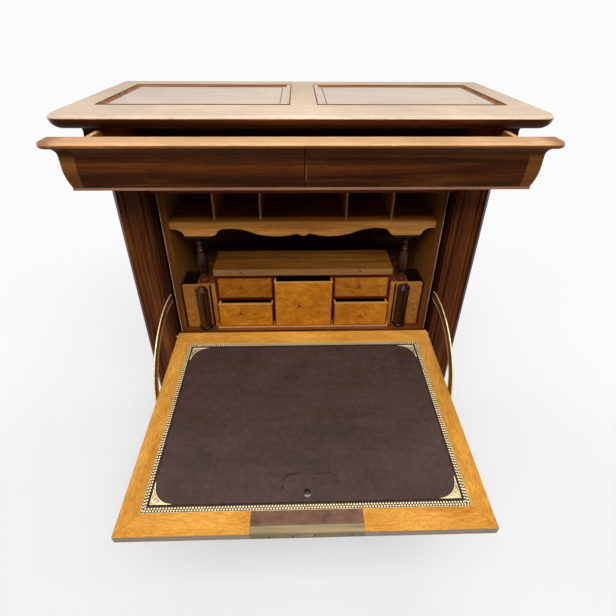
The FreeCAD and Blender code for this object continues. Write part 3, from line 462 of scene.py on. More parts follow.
# Places where a finish changes: heights, depths, and half widths from the middle of the desk
POST_SHADE_HALF = 0.4135
POST_LIT_HEIGHT = 1.17
BACK_BOARD_WIDTH = 0.188
TOP_FACE_HEIGHT = 1.4215
MUNTIN_MOULDING_HALF = 0.046
COVE_SHEEN_HEIGHT = 1.360
FOOT_FILLET_HEIGHT = 1.2823
CORNER_BLOCK_HALF = 0.486
FRONT_JOINT_HALF = 0.0012
JOINT_CHIP_LOW, JOINT_CHIP_HIGH = 1.298, 1.336
JOINT_CHIP_ACROSS, JOINT_CHIP_HALF = 0.0034, 0.0012
LIP_END_HALF = 0.515
BOX_BACK_DEPTH, BOX_RIM_DEPTH = 0.060, 0.078
BOX_INNER_HALF, BOX_OUTER_HALF = 0.2872, 0.3672
COLUMN_FOOT_HEIGHT, COLUMN_BLOCK_HEIGHT = 0.936, 1.0575
HALF_COLUMN_FOOT_HEIGHT = 0.7475

FINISHES = {}


def add_finish(name, make, *values, **details):
    """Make a material by one of the functions above, and keep it under its name."""
    FINISHES[name] = make(name, *values, **details)


# Walnut of the case
add_finish("walnut_x", wood, *WALNUT)
add_finish("walnut_y", wood, *WALNUT, axis="Y", shift=3.1)
add_finish("walnut_z", wood, *WALNUT, axis="Z")
add_finish("walnut_low", wood, *WALNUT, figure=0.7, shift=7.3)
add_finish("walnut_mid", wood, *WALNUT, figure=0.7, shift=9.1)
add_finish("walnut_high", wood, *WALNUT, figure=0.7, shift=11.6)
# Both posts: the strip next to the opening is painted darker, as painted shade of the deep gap at their inner
# edges
add_finish("post", wood, tone(64, 31, 11), tone(104, 55, 22), tone(138, 80, 38), axis="Z", contrast=1.4,
           zones=[(inside(POST_SHADE_HALF), (tone(46, 20, 6), tone(76, 38, 14), tone(100, 55, 23)))])
# The right post's upper part is painted lighter, as painted light on its top
add_finish("post_dark", wood, tone(52, 23, 7), tone(82, 39, 13), tone(112, 60, 25), axis="Z", contrast=1.4,
           zones=[(above(POST_LIT_HEIGHT, soft=0.07),
                   (tone(76, 38, 14), tone(118, 64, 27), tone(152, 92, 46))),
                  (inside(POST_SHADE_HALF), (tone(48, 21, 6), tone(78, 39, 14), tone(104, 56, 24)))])
add_finish("red_rail", wood, tone(100, 40, 15), tone(138, 62, 23), tone(166, 88, 38), shift=1.7)

# Top and frieze drawer
# The top's upper faces, its panels' upper faces and the muntin moulding are pale: partly faded wood, partly
# painted light from above
add_finish("top_x", wood, *WALNUT, shift=0.9, zones=[(above(TOP_FACE_HEIGHT, soft=0.0006), FADED_AND_LIT)])
add_finish("panel_x", wood, *WALNUT, figure=0.6, shift=2.2, zones=[(up_faces(), tone(206, 187, 171))])
add_finish("panel_edge", wood, tone(108, 66, 34), tone(140, 92, 54), tone(168, 118, 76), shift=1.4, zones=[
    (inside(MUNTIN_MOULDING_HALF), tone(206, 186, 166))])
add_finish("panel_line", wood, tone(84, 48, 22), tone(106, 64, 34), tone(128, 82, 48), shift=0.7)
add_finish("frieze", wood, *FRIEZE, axis="flame", contrast=0.95, figure=0.8, shift=5.3, zones=[
    # A lighter band on the cove under the lip: painted sheen
    (above(COVE_SHEEN_HEIGHT, soft=0.009), tone(122, 74, 44)),
    (inside(FRONT_JOINT_HALF), tone(18, 8, 4)),
    (both(both(above(JOINT_CHIP_LOW), below(JOINT_CHIP_HIGH)), strip_at(JOINT_CHIP_ACROSS, JOINT_CHIP_HALF)),
     tone(100, 70, 42)),
    (outside(CORNER_BLOCK_HALF), (tone(82, 48, 18), tone(100, 60, 24), tone(118, 74, 32))),
    # The foot fillet is painted paler: painted reflection of the floor on its edge
    (below(FOOT_FILLET_HEIGHT), tone(136, 98, 76))])
add_finish("lip", wood, tone(82, 46, 20), tone(108, 64, 30), tone(136, 86, 44), zones=[
    # The lip's upper faces are painted pale, as painted light from above; less of it at the ends
    (up_faces(0.2, 0.5), tone(199, 158, 116)),
    (both(up_faces(0.2, 0.5), outside(LIP_END_HALF, soft=0.02)), tone(150, 102, 66))])

# Plain wood inside the case
add_finish("plain_x", wood, *PLAIN, rough=0.6, shift=1.3)
add_finish("plain_z", wood, *PLAIN, axis="Z", rough=0.6, shift=0.6, boards=BACK_BOARD_WIDTH)
add_finish("plain_board", wood, *PLAIN, axis="board", rough=0.6, shift=2.1)
add_finish("drawer_box", wood, tone(140, 84, 28), tone(172, 108, 40), tone(194, 132, 56), axis="board",
           rough=0.55, shift=4.1, zones=[(up_faces(), tone(206, 160, 108))])

# Gallery, pigeonholes and nest of drawers
add_finish("deck", wood, tone(74, 36, 14), tone(98, 52, 20), tone(120, 68, 30), shift=4.9)
add_finish("dull", wood, tone(92, 64, 34), tone(116, 84, 46), tone(138, 102, 58), shift=2.9)
add_finish("gold_z", wood, tone(142, 92, 34), tone(172, 114, 46), tone(190, 132, 60), axis="Z", shift=1.1,
           zones=[(front_faces(), tone(88, 46, 16))])
add_finish("bead", wood, tone(168, 124, 86), tone(194, 150, 112), tone(212, 172, 136), axis="Z", rough=0.35)
add_finish("gold_shelf", wood, *GOLD, shift=2.4, zones=[(front_faces(), tone(96, 48, 17))])
add_finish("divider", wood, *GOLD, axis="Y", shift=1.2, zones=[(front_faces(), tone(176, 136, 92))])
add_finish("apron", wood, tone(178, 118, 50), tone(206, 142, 70), tone(224, 164, 92), shift=0.4,
           zones=[(down_faces(), tone(236, 190, 120))])
# Columns: painted darker above COLUMN_BLOCK_HEIGHT, as painted shade under the apron
add_finish("column", wood, tone(22, 9, 5), tone(36, 16, 9), tone(54, 27, 16), axis="Z", rough=0.3, gloss=0.06,
           zones=[(above(COLUMN_BLOCK_HEIGHT), tone(34, 14, 7)),
                  (below(COLUMN_FOOT_HEIGHT, soft=0.006), tone(74, 34, 19))])
add_finish("column_polish", wood, tone(28, 11, 6), tone(48, 21, 11), tone(78, 38, 22), axis="Z", rough=0.22,
           coat=0.06, gloss=0.1)
# Half columns: the foot is painted darker, as painted shade
add_finish("half_column", wood, tone(28, 11, 4), tone(55, 28, 12), tone(94, 57, 31), axis="Z", rough=0.3,
           contrast=1.5, figure=1.6, coat=0.03, gloss=0.08, shift=0.8,
           zones=[(below(HALF_COLUMN_FOOT_HEIGHT, soft=0.002), tone(40, 19, 9))])
add_finish("base", wood, *GOLD, shift=3.3, zones=[
    (front_faces(0.3, 0.6), tone(136, 80, 36)),
    (both(front_faces(0.3, 0.6), up_faces(0.3, 0.6)), tone(168, 118, 80))])
add_finish("nest_red", wood, tone(56, 12, 6), tone(78, 20, 9), tone(100, 34, 14), shift=2.7)
add_finish("nest_top", wood, tone(92, 54, 17), tone(116, 72, 25), tone(138, 92, 38), shift=3.7,
           zones=[(front_faces(), tone(140, 100, 58))])
# Bay boards: the upper faces are painted dark, as painted shade where the columns stand
add_finish("gold_board", wood, *BROWN_GOLD, axis="board", shift=2.7, zones=[(up_faces(), tone(92, 52, 22))])
# Document boxes: the inside and the sides by the gaps are painted dark, as painted shade
add_finish("gold_box", wood, *BROWN_GOLD, axis="fleck", shift=1.1, zones=[
    (behind(BOX_BACK_DEPTH), tone(26, 14, 5)),
    (both(up_faces(), ahead(BOX_RIM_DEPTH)), tone(150, 104, 58)),
    (outside(BOX_OUTER_HALF), tone(50, 18, 8)),
    (inside(BOX_INNER_HALF), tone(56, 20, 9))])

# Fall
add_finish("pale_x", wood, *PALE, axis="fine_x", grain=0.85, shift=0.2,
           zones=[(front_faces(), EDGE), (down_faces(), WALNUT)])
add_finish("pale_y", wood, tone(190, 127, 46), tone(206, 144, 58), tone(220, 161, 74), axis="fine_y",
           grain=0.9, shift=1.9, zones=[(front_faces(), EDGE), (down_faces(), WALNUT)])
add_finish("patch", patch)
add_finish("leather", leather)
# leather_dome: the front slope painted light and the rear slope dark, as painted highlight and painted shade
add_finish("leather_dome", leather, [
    (front_faces(0.26, 0.46), tone(136, 118, 110)), (back_faces(-0.12, 0.10), tone(24, 15, 12))])
add_finish("brass", brass, tone(120, 96, 50), tone(186, 156, 92))
# stay_brass: bright tones as painted highlight on the stays' edges; the flats darker, partly patina and
# partly painted shade
add_finish("stay_brass", brass, tone(206, 172, 116), tone(246, 222, 176), flat_tone=tone(110, 76, 38))
add_finish("brass_plate", brass, tone(94, 80, 52), tone(138, 120, 84), rough=0.5, patch_scale=(5, 220, 220),
           metal=0.25)

# Small marks
add_finish("gilt", plain_mark, tone(224, 190, 126), tone(255, 238, 196), rough=0.45, metal=0.1, scale=300,
           gloss=0.4)
add_finish("lace", plain_mark, tone(70, 54, 40), tone(214, 196, 160), rough=0.5, metal=0.1, scale=330)
add_finish("tooled", plain_mark, tone(36, 26, 17), tone(50, 38, 28))
add_finish("leather_mark", plain_mark, tone(45, 32, 26), tone(54, 39, 33))
add_finish("leather_light", plain_mark, tone(68, 52, 46), tone(80, 62, 55))
add_finish("dark_mark", plain_mark, tone(92, 42, 11), tone(120, 60, 18), rough=0.7)
add_finish("mitre", plain_mark, tone(120, 70, 22), tone(146, 90, 34), rough=0.7)
# hole: dark discs and slots put where a hole's inside lies in shade, as painted shade
add_finish("hole", plain_mark, tone(16, 10, 8), tone(26, 18, 12), rough=0.9)

# Small drawers: golden fronts whose dark red edges are painted shade of the gaps, and a pale rim before a box
# painted dark as painted shade
SmallDrawer = namedtuple("SmallDrawer", "body tones box_depth rim shift knob_across knob_height")
# The depth where a drawer's box begins, and the tone of its rim; the upper drawers' rim is darker, as painted
# shade
UPPER_LOOK = (0.075, tone(168, 118, 60))
LOWER_LOOK = (0.050, tone(186, 132, 66))
SMALL_DRAWERS = {
    "upper_left_drawer": SmallDrawer("upper_left_small", SHADED_GOLD, *UPPER_LOOK, 6.4, -0.1915, 0.8805),
    "upper_right_drawer": SmallDrawer("upper_right_small", HALF_SHADED_GOLD, *UPPER_LOOK, 8.7, 0.1725, 0.8800),
    "lower_left_drawer": SmallDrawer("lower_left_small", GOLD, *LOWER_LOOK, 4.4, -0.1945, 0.7990),
    "lower_right_drawer": SmallDrawer("lower_right_small", GOLD, *LOWER_LOOK, 9.9, 0.1785, 0.7855),
    "centre_drawer": SmallDrawer("centre_small", GOLD, *LOWER_LOOK, 1.6, -0.0120, 0.8280),
}
SHADED_SIDE_WIDTH, SHADED_FOOT_HEIGHT = 0.0024, 0.0022
for name, drawer in SMALL_DRAWERS.items():
    low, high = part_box(name)
    middle = (low[X] + high[X]) / 2
    half = (high[X] - low[X]) / 2
    add_finish(name, wood, *drawer.tones, axis="fleck", shift=drawer.shift, grain=0.9, zones=[
        # Painted shade: the box behind the front, and dark red strips on the front's sides and foot for the
        # gaps round it
        (behind(drawer.box_depth), tone(40, 20, 8)),
        (up_faces(), drawer.rim),
        (both(front_faces(), beyond(middle, half - SHADED_SIDE_WIDTH)), tone(84, 32, 12)),
        (both(front_faces(), below(low[Z] + SHADED_FOOT_HEIGHT)), tone(96, 42, 16))])

# Finishes of the CAD nodes; a node that isn't listed has a finish of its own name
NODE_FINISH = {
    "plinth": "walnut_x", "bottom_board": "walnut_x", "post_left": "post", "post_right": "post_dark",
    "side_frames": "walnut_z", "side_panels": "walnut_z", "back_boards": "plain_z",
    "drawer_rails": "walnut_x", "drawer_runners": "plain_x", "drawer_guides": "plain_x",
    "writing_deck": "deck", "head_rail": "red_rail", "frieze_floor": "plain_x",
    "frieze_side_left": "walnut_y", "frieze_side_right": "walnut_y",
    "frieze_front": "frieze", "frieze_lip": "lip", "frieze_box": "drawer_box", "top_frame": "top_x",
    "top_panels": "panel_x", "top_mouldings": "panel_edge", "gallery_sides": "gold_z", "gallery_back": "dull",
    "gallery_top": "dull", "pigeonhole_shelf": "gold_shelf", "pigeonhole_dividers": "divider",
    "columns": "column", "nest_base": "base", "nest_boards": "nest_red", "bay_boards": "gold_board",
    "left_document_box": "gold_box", "right_document_box": "gold_box", "left_half_column": "half_column",
    "right_half_column": "half_column", "lower_long_front": "walnut_low", "middle_long_front": "walnut_mid",
    "upper_long_front": "walnut_high", "lower_long_box": "plain_board", "middle_long_box": "plain_board",
    "upper_long_box": "plain_board", "fall_rear_rail": "pale_x", "fall_side_rails": "pale_y",
    "fall_front_rail": "pale_x", "lock_block": "patch", "fall_panel": "walnut_x", "fall_moulding": "walnut_x",
    "writing_leather": "leather", "lock_case": "brass", "lock_selvedge": "brass_plate",
    "fall_stays": "stay_brass", "fall_pivots": "brass", "lock_bolt": "brass",
}
# Nodes whose edges keep their CAD form; all the others are worn a little
SHARP_NODES = {"columns", "left_half_column", "right_half_column", "fall_pivots", "writing_leather"}
WORN_EDGE_WIDTH = 0.0009
WORN_EDGE_ANGLE = math.radians(50)
for name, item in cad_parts.items():
    item.data.materials.clear()
    item.data.materials.append(FINISHES[NODE_FINISH.get(name, name)])
    if name not in SHARP_NODES:
        edge = item.modifiers.new("worn_edges", "BEVEL")
        edge.width = WORN_EDGE_WIDTH
        edge.segments = 2
        edge.limit_method = "ANGLE"
        edge.angle_limit = WORN_EDGE_ANGLE
        edge.harden_normals = True


# Helpers for the scene's own pieces

class Shape:
    """Points and faces that several small forms add to."""

    def __init__(self):
        self.points = []
        self.faces = []

    def stack(self, rings):
        """A closed form through rings of points of the same count."""
        start = len(self.points)
        count = len(rings[0])
        top = start + (len(rings) - 1) * count
        for ring in rings:
            self.points += ring
        self.faces.append(tuple(start + index for index in reversed(range(count))))
        self.faces.append(tuple(top + index for index in range(count)))
        for low in range(start, top, count):
            for index in range(count):
                after = (index + 1) % count
                self.faces.append((low + index, low + after, low + count + after, low + count + index))


def piece(name, shape, finish, body, smooth=False):
    """A piece that moves with a body."""
    mesh = bpy.data.meshes.new(name)
    mesh.from_pydata([tuple(point) for point in shape.points], [], shape.faces)
    mesh.update()
    if smooth:
        for face in mesh.polygons:
            face.use_smooth = True
    mesh.materials.append(FINISHES[finish])
    item = add_object(name, mesh)
    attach(item, body)


def circle(radius, sides):
    """Points of a circle about nought, anticlockwise."""
    turns = [2 * math.pi * step / sides for step in range(sides)]
    return [(radius * math.cos(turn), radius * math.sin(turn)) for turn in turns]


def sides_of(corners):
    """The sides of a closed outline, each as its two ends."""
    return zip(corners, corners[1:] + corners[:1])


# The fall turns about its pivot line, and droops a little at rest
DROOP = math.radians(3.4)
PIVOT = Vector((0, 0.011, 0.724))
LEATHER_RISE = 0.011
FALL_LENGTH = 0.545
OUTER_FACE = -0.022


def on_fall(across, out, rise):
    """A place on the fall: across it, out from its pivot line, above its writing surface."""
    return PIVOT + Matrix.Rotation(DROOP, 3, "X") @ Vector((across, -out, LEATHER_RISE + rise))


def fall_prism(shape, outline, low, high):
    """A flat form on the fall; seen from the second height, its outline runs anticlockwise."""
    shape.stack([[on_fall(across, out, rise) for across, out in outline] for rise in (low, high)])


def strip(shape, first, second, width, high):
    """A straight bar on the fall's upper side, between two places."""
    start, end = Vector(first), Vector(second)
    along = (end - start).normalized() * (width / 2)
    turn = Vector((-along.y, along.x))
    fall_prism(shape, [start + turn, end + turn, end - turn, start - turn], 0, high)


def strips(shape, path, width, high):
    for first, second in zip(path, path[1:]):
        strip(shape, first, second, width, high)


# Tooling of the leather: two rows of gilt lozenges inside a line, a blind line, and a fan in each corner
LEATHER_HALF = 0.351
LEATHER_NEAR, LEATHER_FAR = 0.042, 0.503
GILT_LINE_INSET, GILT_LINE_WIDTH, GILT_LINE_HIGH = 0.0007, 0.0006, 0.00035
LOZENGE_INSET, LOZENGE_ROW = 0.0040, 0.0046
LOZENGE_STEP, LOZENGE_HALF = 0.0062, 0.0022
LOZENGE_START, LOZENGE_STAGGER = 0.25, 0.5
GILT_HIGH = 0.00049
BLIND_INSET, BLIND_WIDTH, BLIND_HIGH = 0.0142, 0.0034, 0.00021
FAN_INSET, FAN_LEG, FAN_POWER, FAN_STEPS, FAN_RAYS = 0.0165, 0.046, 0.56, 16, 10
FAN_GROUND_HIGH = 0.00028
FAN_RIM_WIDTH, FAN_LEG_WIDTH = 0.0011, 0.0010
RAY_START, RAY_END, RAY_WIDTH, RAY_HIGH = 0.002, 0.94, 0.0007, 0.00042
DOT_SHARES, DOT_RADIUS, DOT_SIDES, DOT_HIGH = (0.5, 0.78), 0.0011, 8, 0.00056


def border(inset):
    """Corners of a line that runs inside the leather's edge."""
    half, near, far = LEATHER_HALF - inset, LEATHER_NEAR + inset, LEATHER_FAR - inset
    return [(-half, near), (half, near), (half, far), (-half, far)]


def border_line(shape, inset, width, high):
    for first, second in sides_of(border(inset)):
        strip(shape, first, second, width, high)


def gilt_band():
    shape = Shape()
    border_line(shape, GILT_LINE_INSET, GILT_LINE_WIDTH, GILT_LINE_HIGH)
    for row in range(2):
        for first, second in sides_of(border(LOZENGE_INSET + row * LOZENGE_ROW)):
            start = Vector(first)
            way = Vector(second) - start
            count = round(way.length / LOZENGE_STEP)
            along = way.normalized() * LOZENGE_HALF
            inward = Vector((-along.y, along.x))
            for step in range(count):
                steps = step + LOZENGE_START + LOZENGE_STAGGER * row
                centre = start + way * (steps / count)
                lozenge = [centre + along, centre - inward, centre - along, centre + inward]
                fall_prism(shape, lozenge, 0, GILT_HIGH)
    piece("gilt_band", shape, "gilt", "fall")


def blind_line():
    shape = Shape()
    border_line(shape, BLIND_INSET, BLIND_WIDTH, BLIND_HIGH)
    piece("blind_line", shape, "tooled", "fall")


def corner_fans():
    """Gilt fans of rays and dots under a hollow rim; the two at the front have a laced ground."""
    ground, lines = Shape(), Shape()
    shares = [step / FAN_STEPS for step in range(FAN_STEPS + 1)]
    rim = [(FAN_LEG * share, FAN_LEG * (1 - share ** FAN_POWER) ** (1 / FAN_POWER)) for share in shares]
    for side in (-1, 1):
        for corner_out, inward in ((LEATHER_NEAR + FAN_INSET, 1), (LEATHER_FAR - FAN_INSET, -1)):

            def spot(along, away, share=1.0):
                return (side * (LEATHER_HALF - FAN_INSET - along * share), corner_out + inward * away * share)

            if inward < 0:
                for first, second in zip(rim, rim[1:-1]):
                    corners = [spot(first[0], 0), spot(second[0], 0), spot(*second), spot(*first)]
                    anticlockwise = corners if side < 0 else corners[::-1]
                    fall_prism(ground, anticlockwise, 0, FAN_GROUND_HIGH)
            strips(lines, [spot(*place) for place in rim], FAN_RIM_WIDTH, GILT_HIGH)
            strip(lines, spot(0, 0), spot(FAN_LEG, 0), FAN_LEG_WIDTH, GILT_HIGH)
            strip(lines, spot(0, 0), spot(0, FAN_LEG), FAN_LEG_WIDTH, GILT_HIGH)
            for ray in range(1, FAN_RAYS):
                target = rim[round(ray * FAN_STEPS / FAN_RAYS)]
                strip(lines, spot(RAY_START, RAY_START), spot(*target, RAY_END), RAY_WIDTH, RAY_HIGH)
                for share in DOT_SHARES:
                    across, out = spot(*target, share)
                    dot = [(across + x, out - y) for x, y in circle(DOT_RADIUS, DOT_SIDES)]
                    fall_prism(lines, dot, 0, DOT_HIGH)
    piece("corner_fan_grounds", ground, "lace", "fall")
    piece("corner_fan_lines", lines, "gilt", "fall")


gilt_band()
blind_line()
corner_fans()


# Marks pressed into the leather by the lock below

def lock_marks(name, finish, marks):
    """Marks along paths, each with its width and height."""
    shape = Shape()
    for path, width, high in marks:
        strips(shape, path, width, high)
    piece(name, shape, finish, "fall")


lock_marks("lock_ghost", "leather_mark", [
    ([(-0.056, 0.452), (-0.0535, 0.443), (-0.046, 0.434), (-0.037, 0.430), (-0.015, 0.429)], 0.0040, 0.0002),
    ([(0.020, 0.430), (0.048, 0.429), (0.062, 0.432), (0.069, 0.440), (0.071, 0.450)], 0.0026, 0.0002),
    ([(-0.0535, 0.452), (-0.051, 0.462)], 0.0040, 0.0003),
])
lock_marks("lock_ghost_rim", "leather_light", [
    ([(-0.0580, 0.4540), (-0.0500, 0.4430), (-0.0440, 0.4385)], 0.0018, 0.0003),
    ([(0.0240, 0.4370), (0.0480, 0.4350), (0.0600, 0.4375)], 0.0012, 0.0004),
])

STUD_ACROSS, STUD_OUT = 0.0017, 0.470
STUD_RADIUS, STUD_HIGH = 0.0085, 0.0035
STUD_LEVELS, STUD_SIDES = 7, 24


def lock_stud():
    """The leather raised in a small dome over the lock's post, with painted highlight and painted shade on
    its slopes.
    """
    dome = Shape()
    for level in range(STUD_LEVELS):
        angle = math.pi / 2 * level / STUD_LEVELS
        dome.points += [on_fall(STUD_ACROSS + x, STUD_OUT - y, STUD_HIGH * math.sin(angle))
                        for x, y in circle(STUD_RADIUS * math.cos(angle), STUD_SIDES)]
    top = len(dome.points)
    base = top + 1
    dome.points += [on_fall(STUD_ACROSS, STUD_OUT, STUD_HIGH), on_fall(STUD_ACROSS, STUD_OUT, 0)]
    highest = top - STUD_SIDES
    for step in range(STUD_SIDES):
        after = (step + 1) % STUD_SIDES
        for low in range(0, highest, STUD_SIDES):
            high = low + STUD_SIDES
            dome.faces.append((low + step, low + after, high + after, high + step))
        dome.faces.append((highest + step, highest + after, top))
        dome.faces.append((after, step, base))
    piece("lock_stud", dome, "leather_dome", "fall", smooth=True)


lock_stud()


# Dark marks left by lost knobs on the small drawers, and pin holes in the edge of the nest's top; the holes
# are dark discs of painted shade
SPOT_SIDES = 12
LEG_LENGTH, LEG_FOOT_HALF, LEG_TIP_HALF, LEG_RISE = 0.0102, 0.0018, 0.0014, 0.0003
MARK_RADIUS, MARK_RISE = 0.0028, 0.0004
HOLE_RADIUS, HOLE_RISE = 0.0016, 0.0002
PIN_RADIUS, PIN_HEIGHT, PIN_PLACES = 0.0026, 0.943, (-0.188, 0.170)


def on_front(shape, outline, front, rise):
    """A flat form on an upright front, from its outline in across and height."""
    depths = (front, front - rise)
    shape.stack([[Vector((across, depth, high)) for across, high in outline] for depth in depths])


def front_spot(shape, across, front, high, radius, rise):
    on_front(shape, [(across + x, high + z) for x, z in circle(radius, SPOT_SIDES)], front, rise)


def knob_mark(name, across, front, high, body):
    """Three legs round a spot, and a hole in it as a dark disc of painted shade."""
    mark = Shape()
    centre = Vector((across, high))
    for leg in range(3):
        angle = math.radians(90 + 120 * leg)
        way = Vector((math.cos(angle), math.sin(angle)))
        side = Vector((-way.y, way.x))
        foot, tip = centre, centre + way * LEG_LENGTH
        on_front(mark, [foot - side * LEG_FOOT_HALF, tip - side * LEG_TIP_HALF,
                        tip + side * LEG_TIP_HALF, foot + side * LEG_FOOT_HALF], front, LEG_RISE)
    front_spot(mark, across, front, high, MARK_RADIUS, MARK_RISE)
    piece(name, mark, "dark_mark", body)
    hole = Shape()
    front_spot(hole, across, front - LEG_RISE, high, HOLE_RADIUS, HOLE_RISE)
    piece(f"{name}_hole", hole, "hole", body)


for name, drawer in SMALL_DRAWERS.items():
    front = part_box(name)[0][Y]
    knob_mark(f"{name}_mark", drawer.knob_across, front, drawer.knob_height, drawer.body)

pin_holes = Shape()
nest_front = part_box("nest_top")[0][Y]
for across in PIN_PLACES:
    front_spot(pin_holes, across, nest_front, PIN_HEIGHT, PIN_RADIUS, HOLE_RISE)
piece("nest_pin_holes", pin_holes, "hole", "case")


# Turned bodies of the two columns, over the stems that carry the load: radius and height from the foot up
COLUMN_BODY = [
    (0.0098, 0.9390), (0.0118, 0.9420), (0.0146, 0.9470), (0.0168, 0.9540), (0.0178, 0.9640),
    (0.0178, 0.9730), (0.0170, 0.9830), (0.0152, 0.9930), (0.0126, 1.0020), (0.0104, 1.0080),
    (0.0096, 1.0115), (0.0118, 1.0130), (0.0124, 1.0150), (0.0118, 1.0170), (0.0092, 1.0185),
    (0.0084, 1.0280), (0.0086, 1.0380), (0.0100, 1.0420),
]
COLUMN_ACROSS, COLUMN_DEPTH = 0.301, 0.062
COLUMN_SIDES = 32

column_bodies = Shape()
for across in (-COLUMN_ACROSS, COLUMN_ACROSS):
    column_bodies.stack([
        [Vector((across + x, COLUMN_DEPTH + y, high)) for x, y in circle(radius, COLUMN_SIDES)]
        for radius, high in COLUMN_BODY])
piece("column_bodies", column_bodies, "column_polish", "case", smooth=True)


# Pale cock beads on the front edges of the gallery sides
BEAD_RADIUS, BEAD_STEPS = 0.0013, 6
BEAD_INSET, BEAD_SUNK = 0.0014, 0.0002


def gallery_beads():
    """Half round rods that stand upright, with the round to the front."""
    shape = Shape()
    low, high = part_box("gallery_sides")
    front = low[Y] + BEAD_SUNK
    turns = [math.pi * step / BEAD_STEPS for step in reversed(range(BEAD_STEPS + 1))]
    for side in (-1, 1):
        across = side * (high[X] - BEAD_INSET)
        outline = [(across + BEAD_RADIUS * math.cos(turn), front - BEAD_RADIUS * math.sin(turn))
                   for turn in turns]
        shape.stack([[Vector((x, y, height)) for x, y in outline] for height in (low[Z], high[Z])])
    piece("gallery_beads", shape, "bead", "case")


gallery_beads()


# Fine raised lines of the top: round each panel's moulding, and again on its field
MUNTIN_HALF = 0.034
LINE_DEPTH = 0.0020
RIM_LINE_HALF, RIM_LINE_RISE = 0.0013, 0.0016
FIELD_LINE_HALF, FIELD_LINE_RISE = 0.0008, 0.0008
FIELD_INSET, FIELD_MUNTIN_INSET = 0.0125, 0.0245


def level_bar(shape, first, second, half_width, head):
    """A level bar between two places, longer by its half width at each end."""
    start, end = Vector(first), Vector(second)
    way = (end - start).normalized() * half_width
    side = Vector((-way.y, way.x))
    outline = [start - way + side, start - way - side, end + way - side, end + way + side]
    shape.stack([[Vector((x, y, height)) for x, y in outline] for height in (head - LINE_DEPTH, head)])


def panel_lines():
    shape = Shape()
    low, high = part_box("top_mouldings")
    rim_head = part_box("top_frame")[1][Z] + RIM_LINE_RISE
    field_head = low[Z] + FIELD_LINE_RISE
    for inset, muntin_inset, half_width, head in (
            (0, 0, RIM_LINE_HALF, rim_head), (FIELD_INSET, FIELD_MUNTIN_INSET, FIELD_LINE_HALF, field_head)):
        near, far = low[Y] + inset, high[Y] - inset
        muntin = MUNTIN_HALF + muntin_inset
        for left, right in ((low[X] + inset, -muntin), (muntin, high[X] - inset)):
            for first, second in sides_of([(left, near), (right, near), (right, far), (left, far)]):
                level_bar(shape, first, second, half_width, head)
    piece("panel_lines", shape, "panel_line", "case")


panel_lines()


# Screw holes in the brass edge of the fall, as dark discs of painted shade: place across, rise and radius
PLATE_HOLES = ((-0.029, -0.0125, 0.0021), (0.0150, -0.0135, 0.0019), (-0.079, -0.0160, 0.0024),
               (0.092, -0.0125, 0.0019))
PLATE_HOLE_PROUD = 0.0003

plate_holes = Shape()
for across, rise, radius in PLATE_HOLES:
    ring = [(across + x, rise + z) for x, z in circle(radius, SPOT_SIDES)]
    ends = (FALL_LENGTH, FALL_LENGTH + PLATE_HOLE_PROUD)
    plate_holes.stack([[on_fall(x, out, z) for x, z in ring] for out in ends])
piece("plate_holes", plate_holes, "hole", "fall")


# Brass linings round the keyholes of the long drawers and of the fall: half width and half height
LINING_OUTER, LINING_INNER, SLOT_OUTLINE = (0.0052, 0.0112), (0.0029, 0.0089), (0.0028, 0.0088)
LINING_SUNK, LINING_PROUD = -0.0004, 0.0007
DRAWER_KEYHOLE_DROP = 0.027
FALL_KEYHOLE_OUT = 0.516
FALL_SLOT_PROUD = 0.0002
CAPSULE_STEPS = 8


def capsule(half_wide, half_high):
    """A tall outline with round ends, anticlockwise."""
    straight = half_high - half_wide
    turns = [math.pi * step / CAPSULE_STEPS for step in range(CAPSULE_STEPS + 1)]
    upper = [(half_wide * math.cos(turn), straight + half_wide * math.sin(turn)) for turn in turns]
    return upper + [(-x, -z) for x, z in upper]


def lining(name, at, body):
    """A flat brass ring; at gives a place from across, up and out of the surface."""
    shape = Shape()
    rings = [capsule(*LINING_OUTER), capsule(*LINING_INNER)]
    count = len(rings[0])
    shape.points = [at(x, z, rise) for rise in (LINING_SUNK, LINING_PROUD) for ring in rings for x, z in ring]
    low_out, low_in, high_out, high_in = (start * count for start in range(4))
    for here in range(count):
        after = (here + 1) % count
        for first, second in ((high_out, high_in), (low_in, low_out), (low_out, high_out), (high_in, low_in)):
            shape.faces.append((first + here, first + after, second + after, second + here))
    piece(name, shape, "brass", body)


def drawer_lining(name):
    low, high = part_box(f"{name}_long_front")
    middle = high[Z] - DRAWER_KEYHOLE_DROP
    lining(f"{name}_keyhole_lining", lambda x, z, rise: Vector((x, low[Y] - rise, middle + z)),
           f"{name}_long_drawer")


for name in ("lower", "middle", "upper"):
    drawer_lining(name)
lining("fall_keyhole_lining", lambda x, z, rise: on_fall(x, FALL_KEYHOLE_OUT + z, OUTER_FACE - rise), "fall")

# The fall's keyhole: a dark slot of painted shade
fall_slot = Shape()
fall_prism(fall_slot, [(x, FALL_KEYHOLE_OUT + z) for x, z in capsule(*SLOT_OUTLINE)],
           OUTER_FACE, OUTER_FACE - FALL_SLOT_PROUD)
piece("fall_keyhole", fall_slot, "hole", "fall")


# Mitre lines of the fall's border, each from its inner to its outer end
FRONT_MITRE = ((0.3525, 0.5045), (0.3920, 0.5440))
REAR_MITRE = ((0.3525, 0.0405), (0.3880, 0.0050))
MITRE_WIDTH, MITRE_HIGH = 0.0007, 0.0001

mitres = Shape()
for side in (-1, 1):
    for mitre in (FRONT_MITRE, REAR_MITRE):
        strips(mitres, [(side * across, out) for across, out in mitre], MITRE_WIDTH, MITRE_HIGH)
piece("border_mitres", mitres, "mitre", "fall")


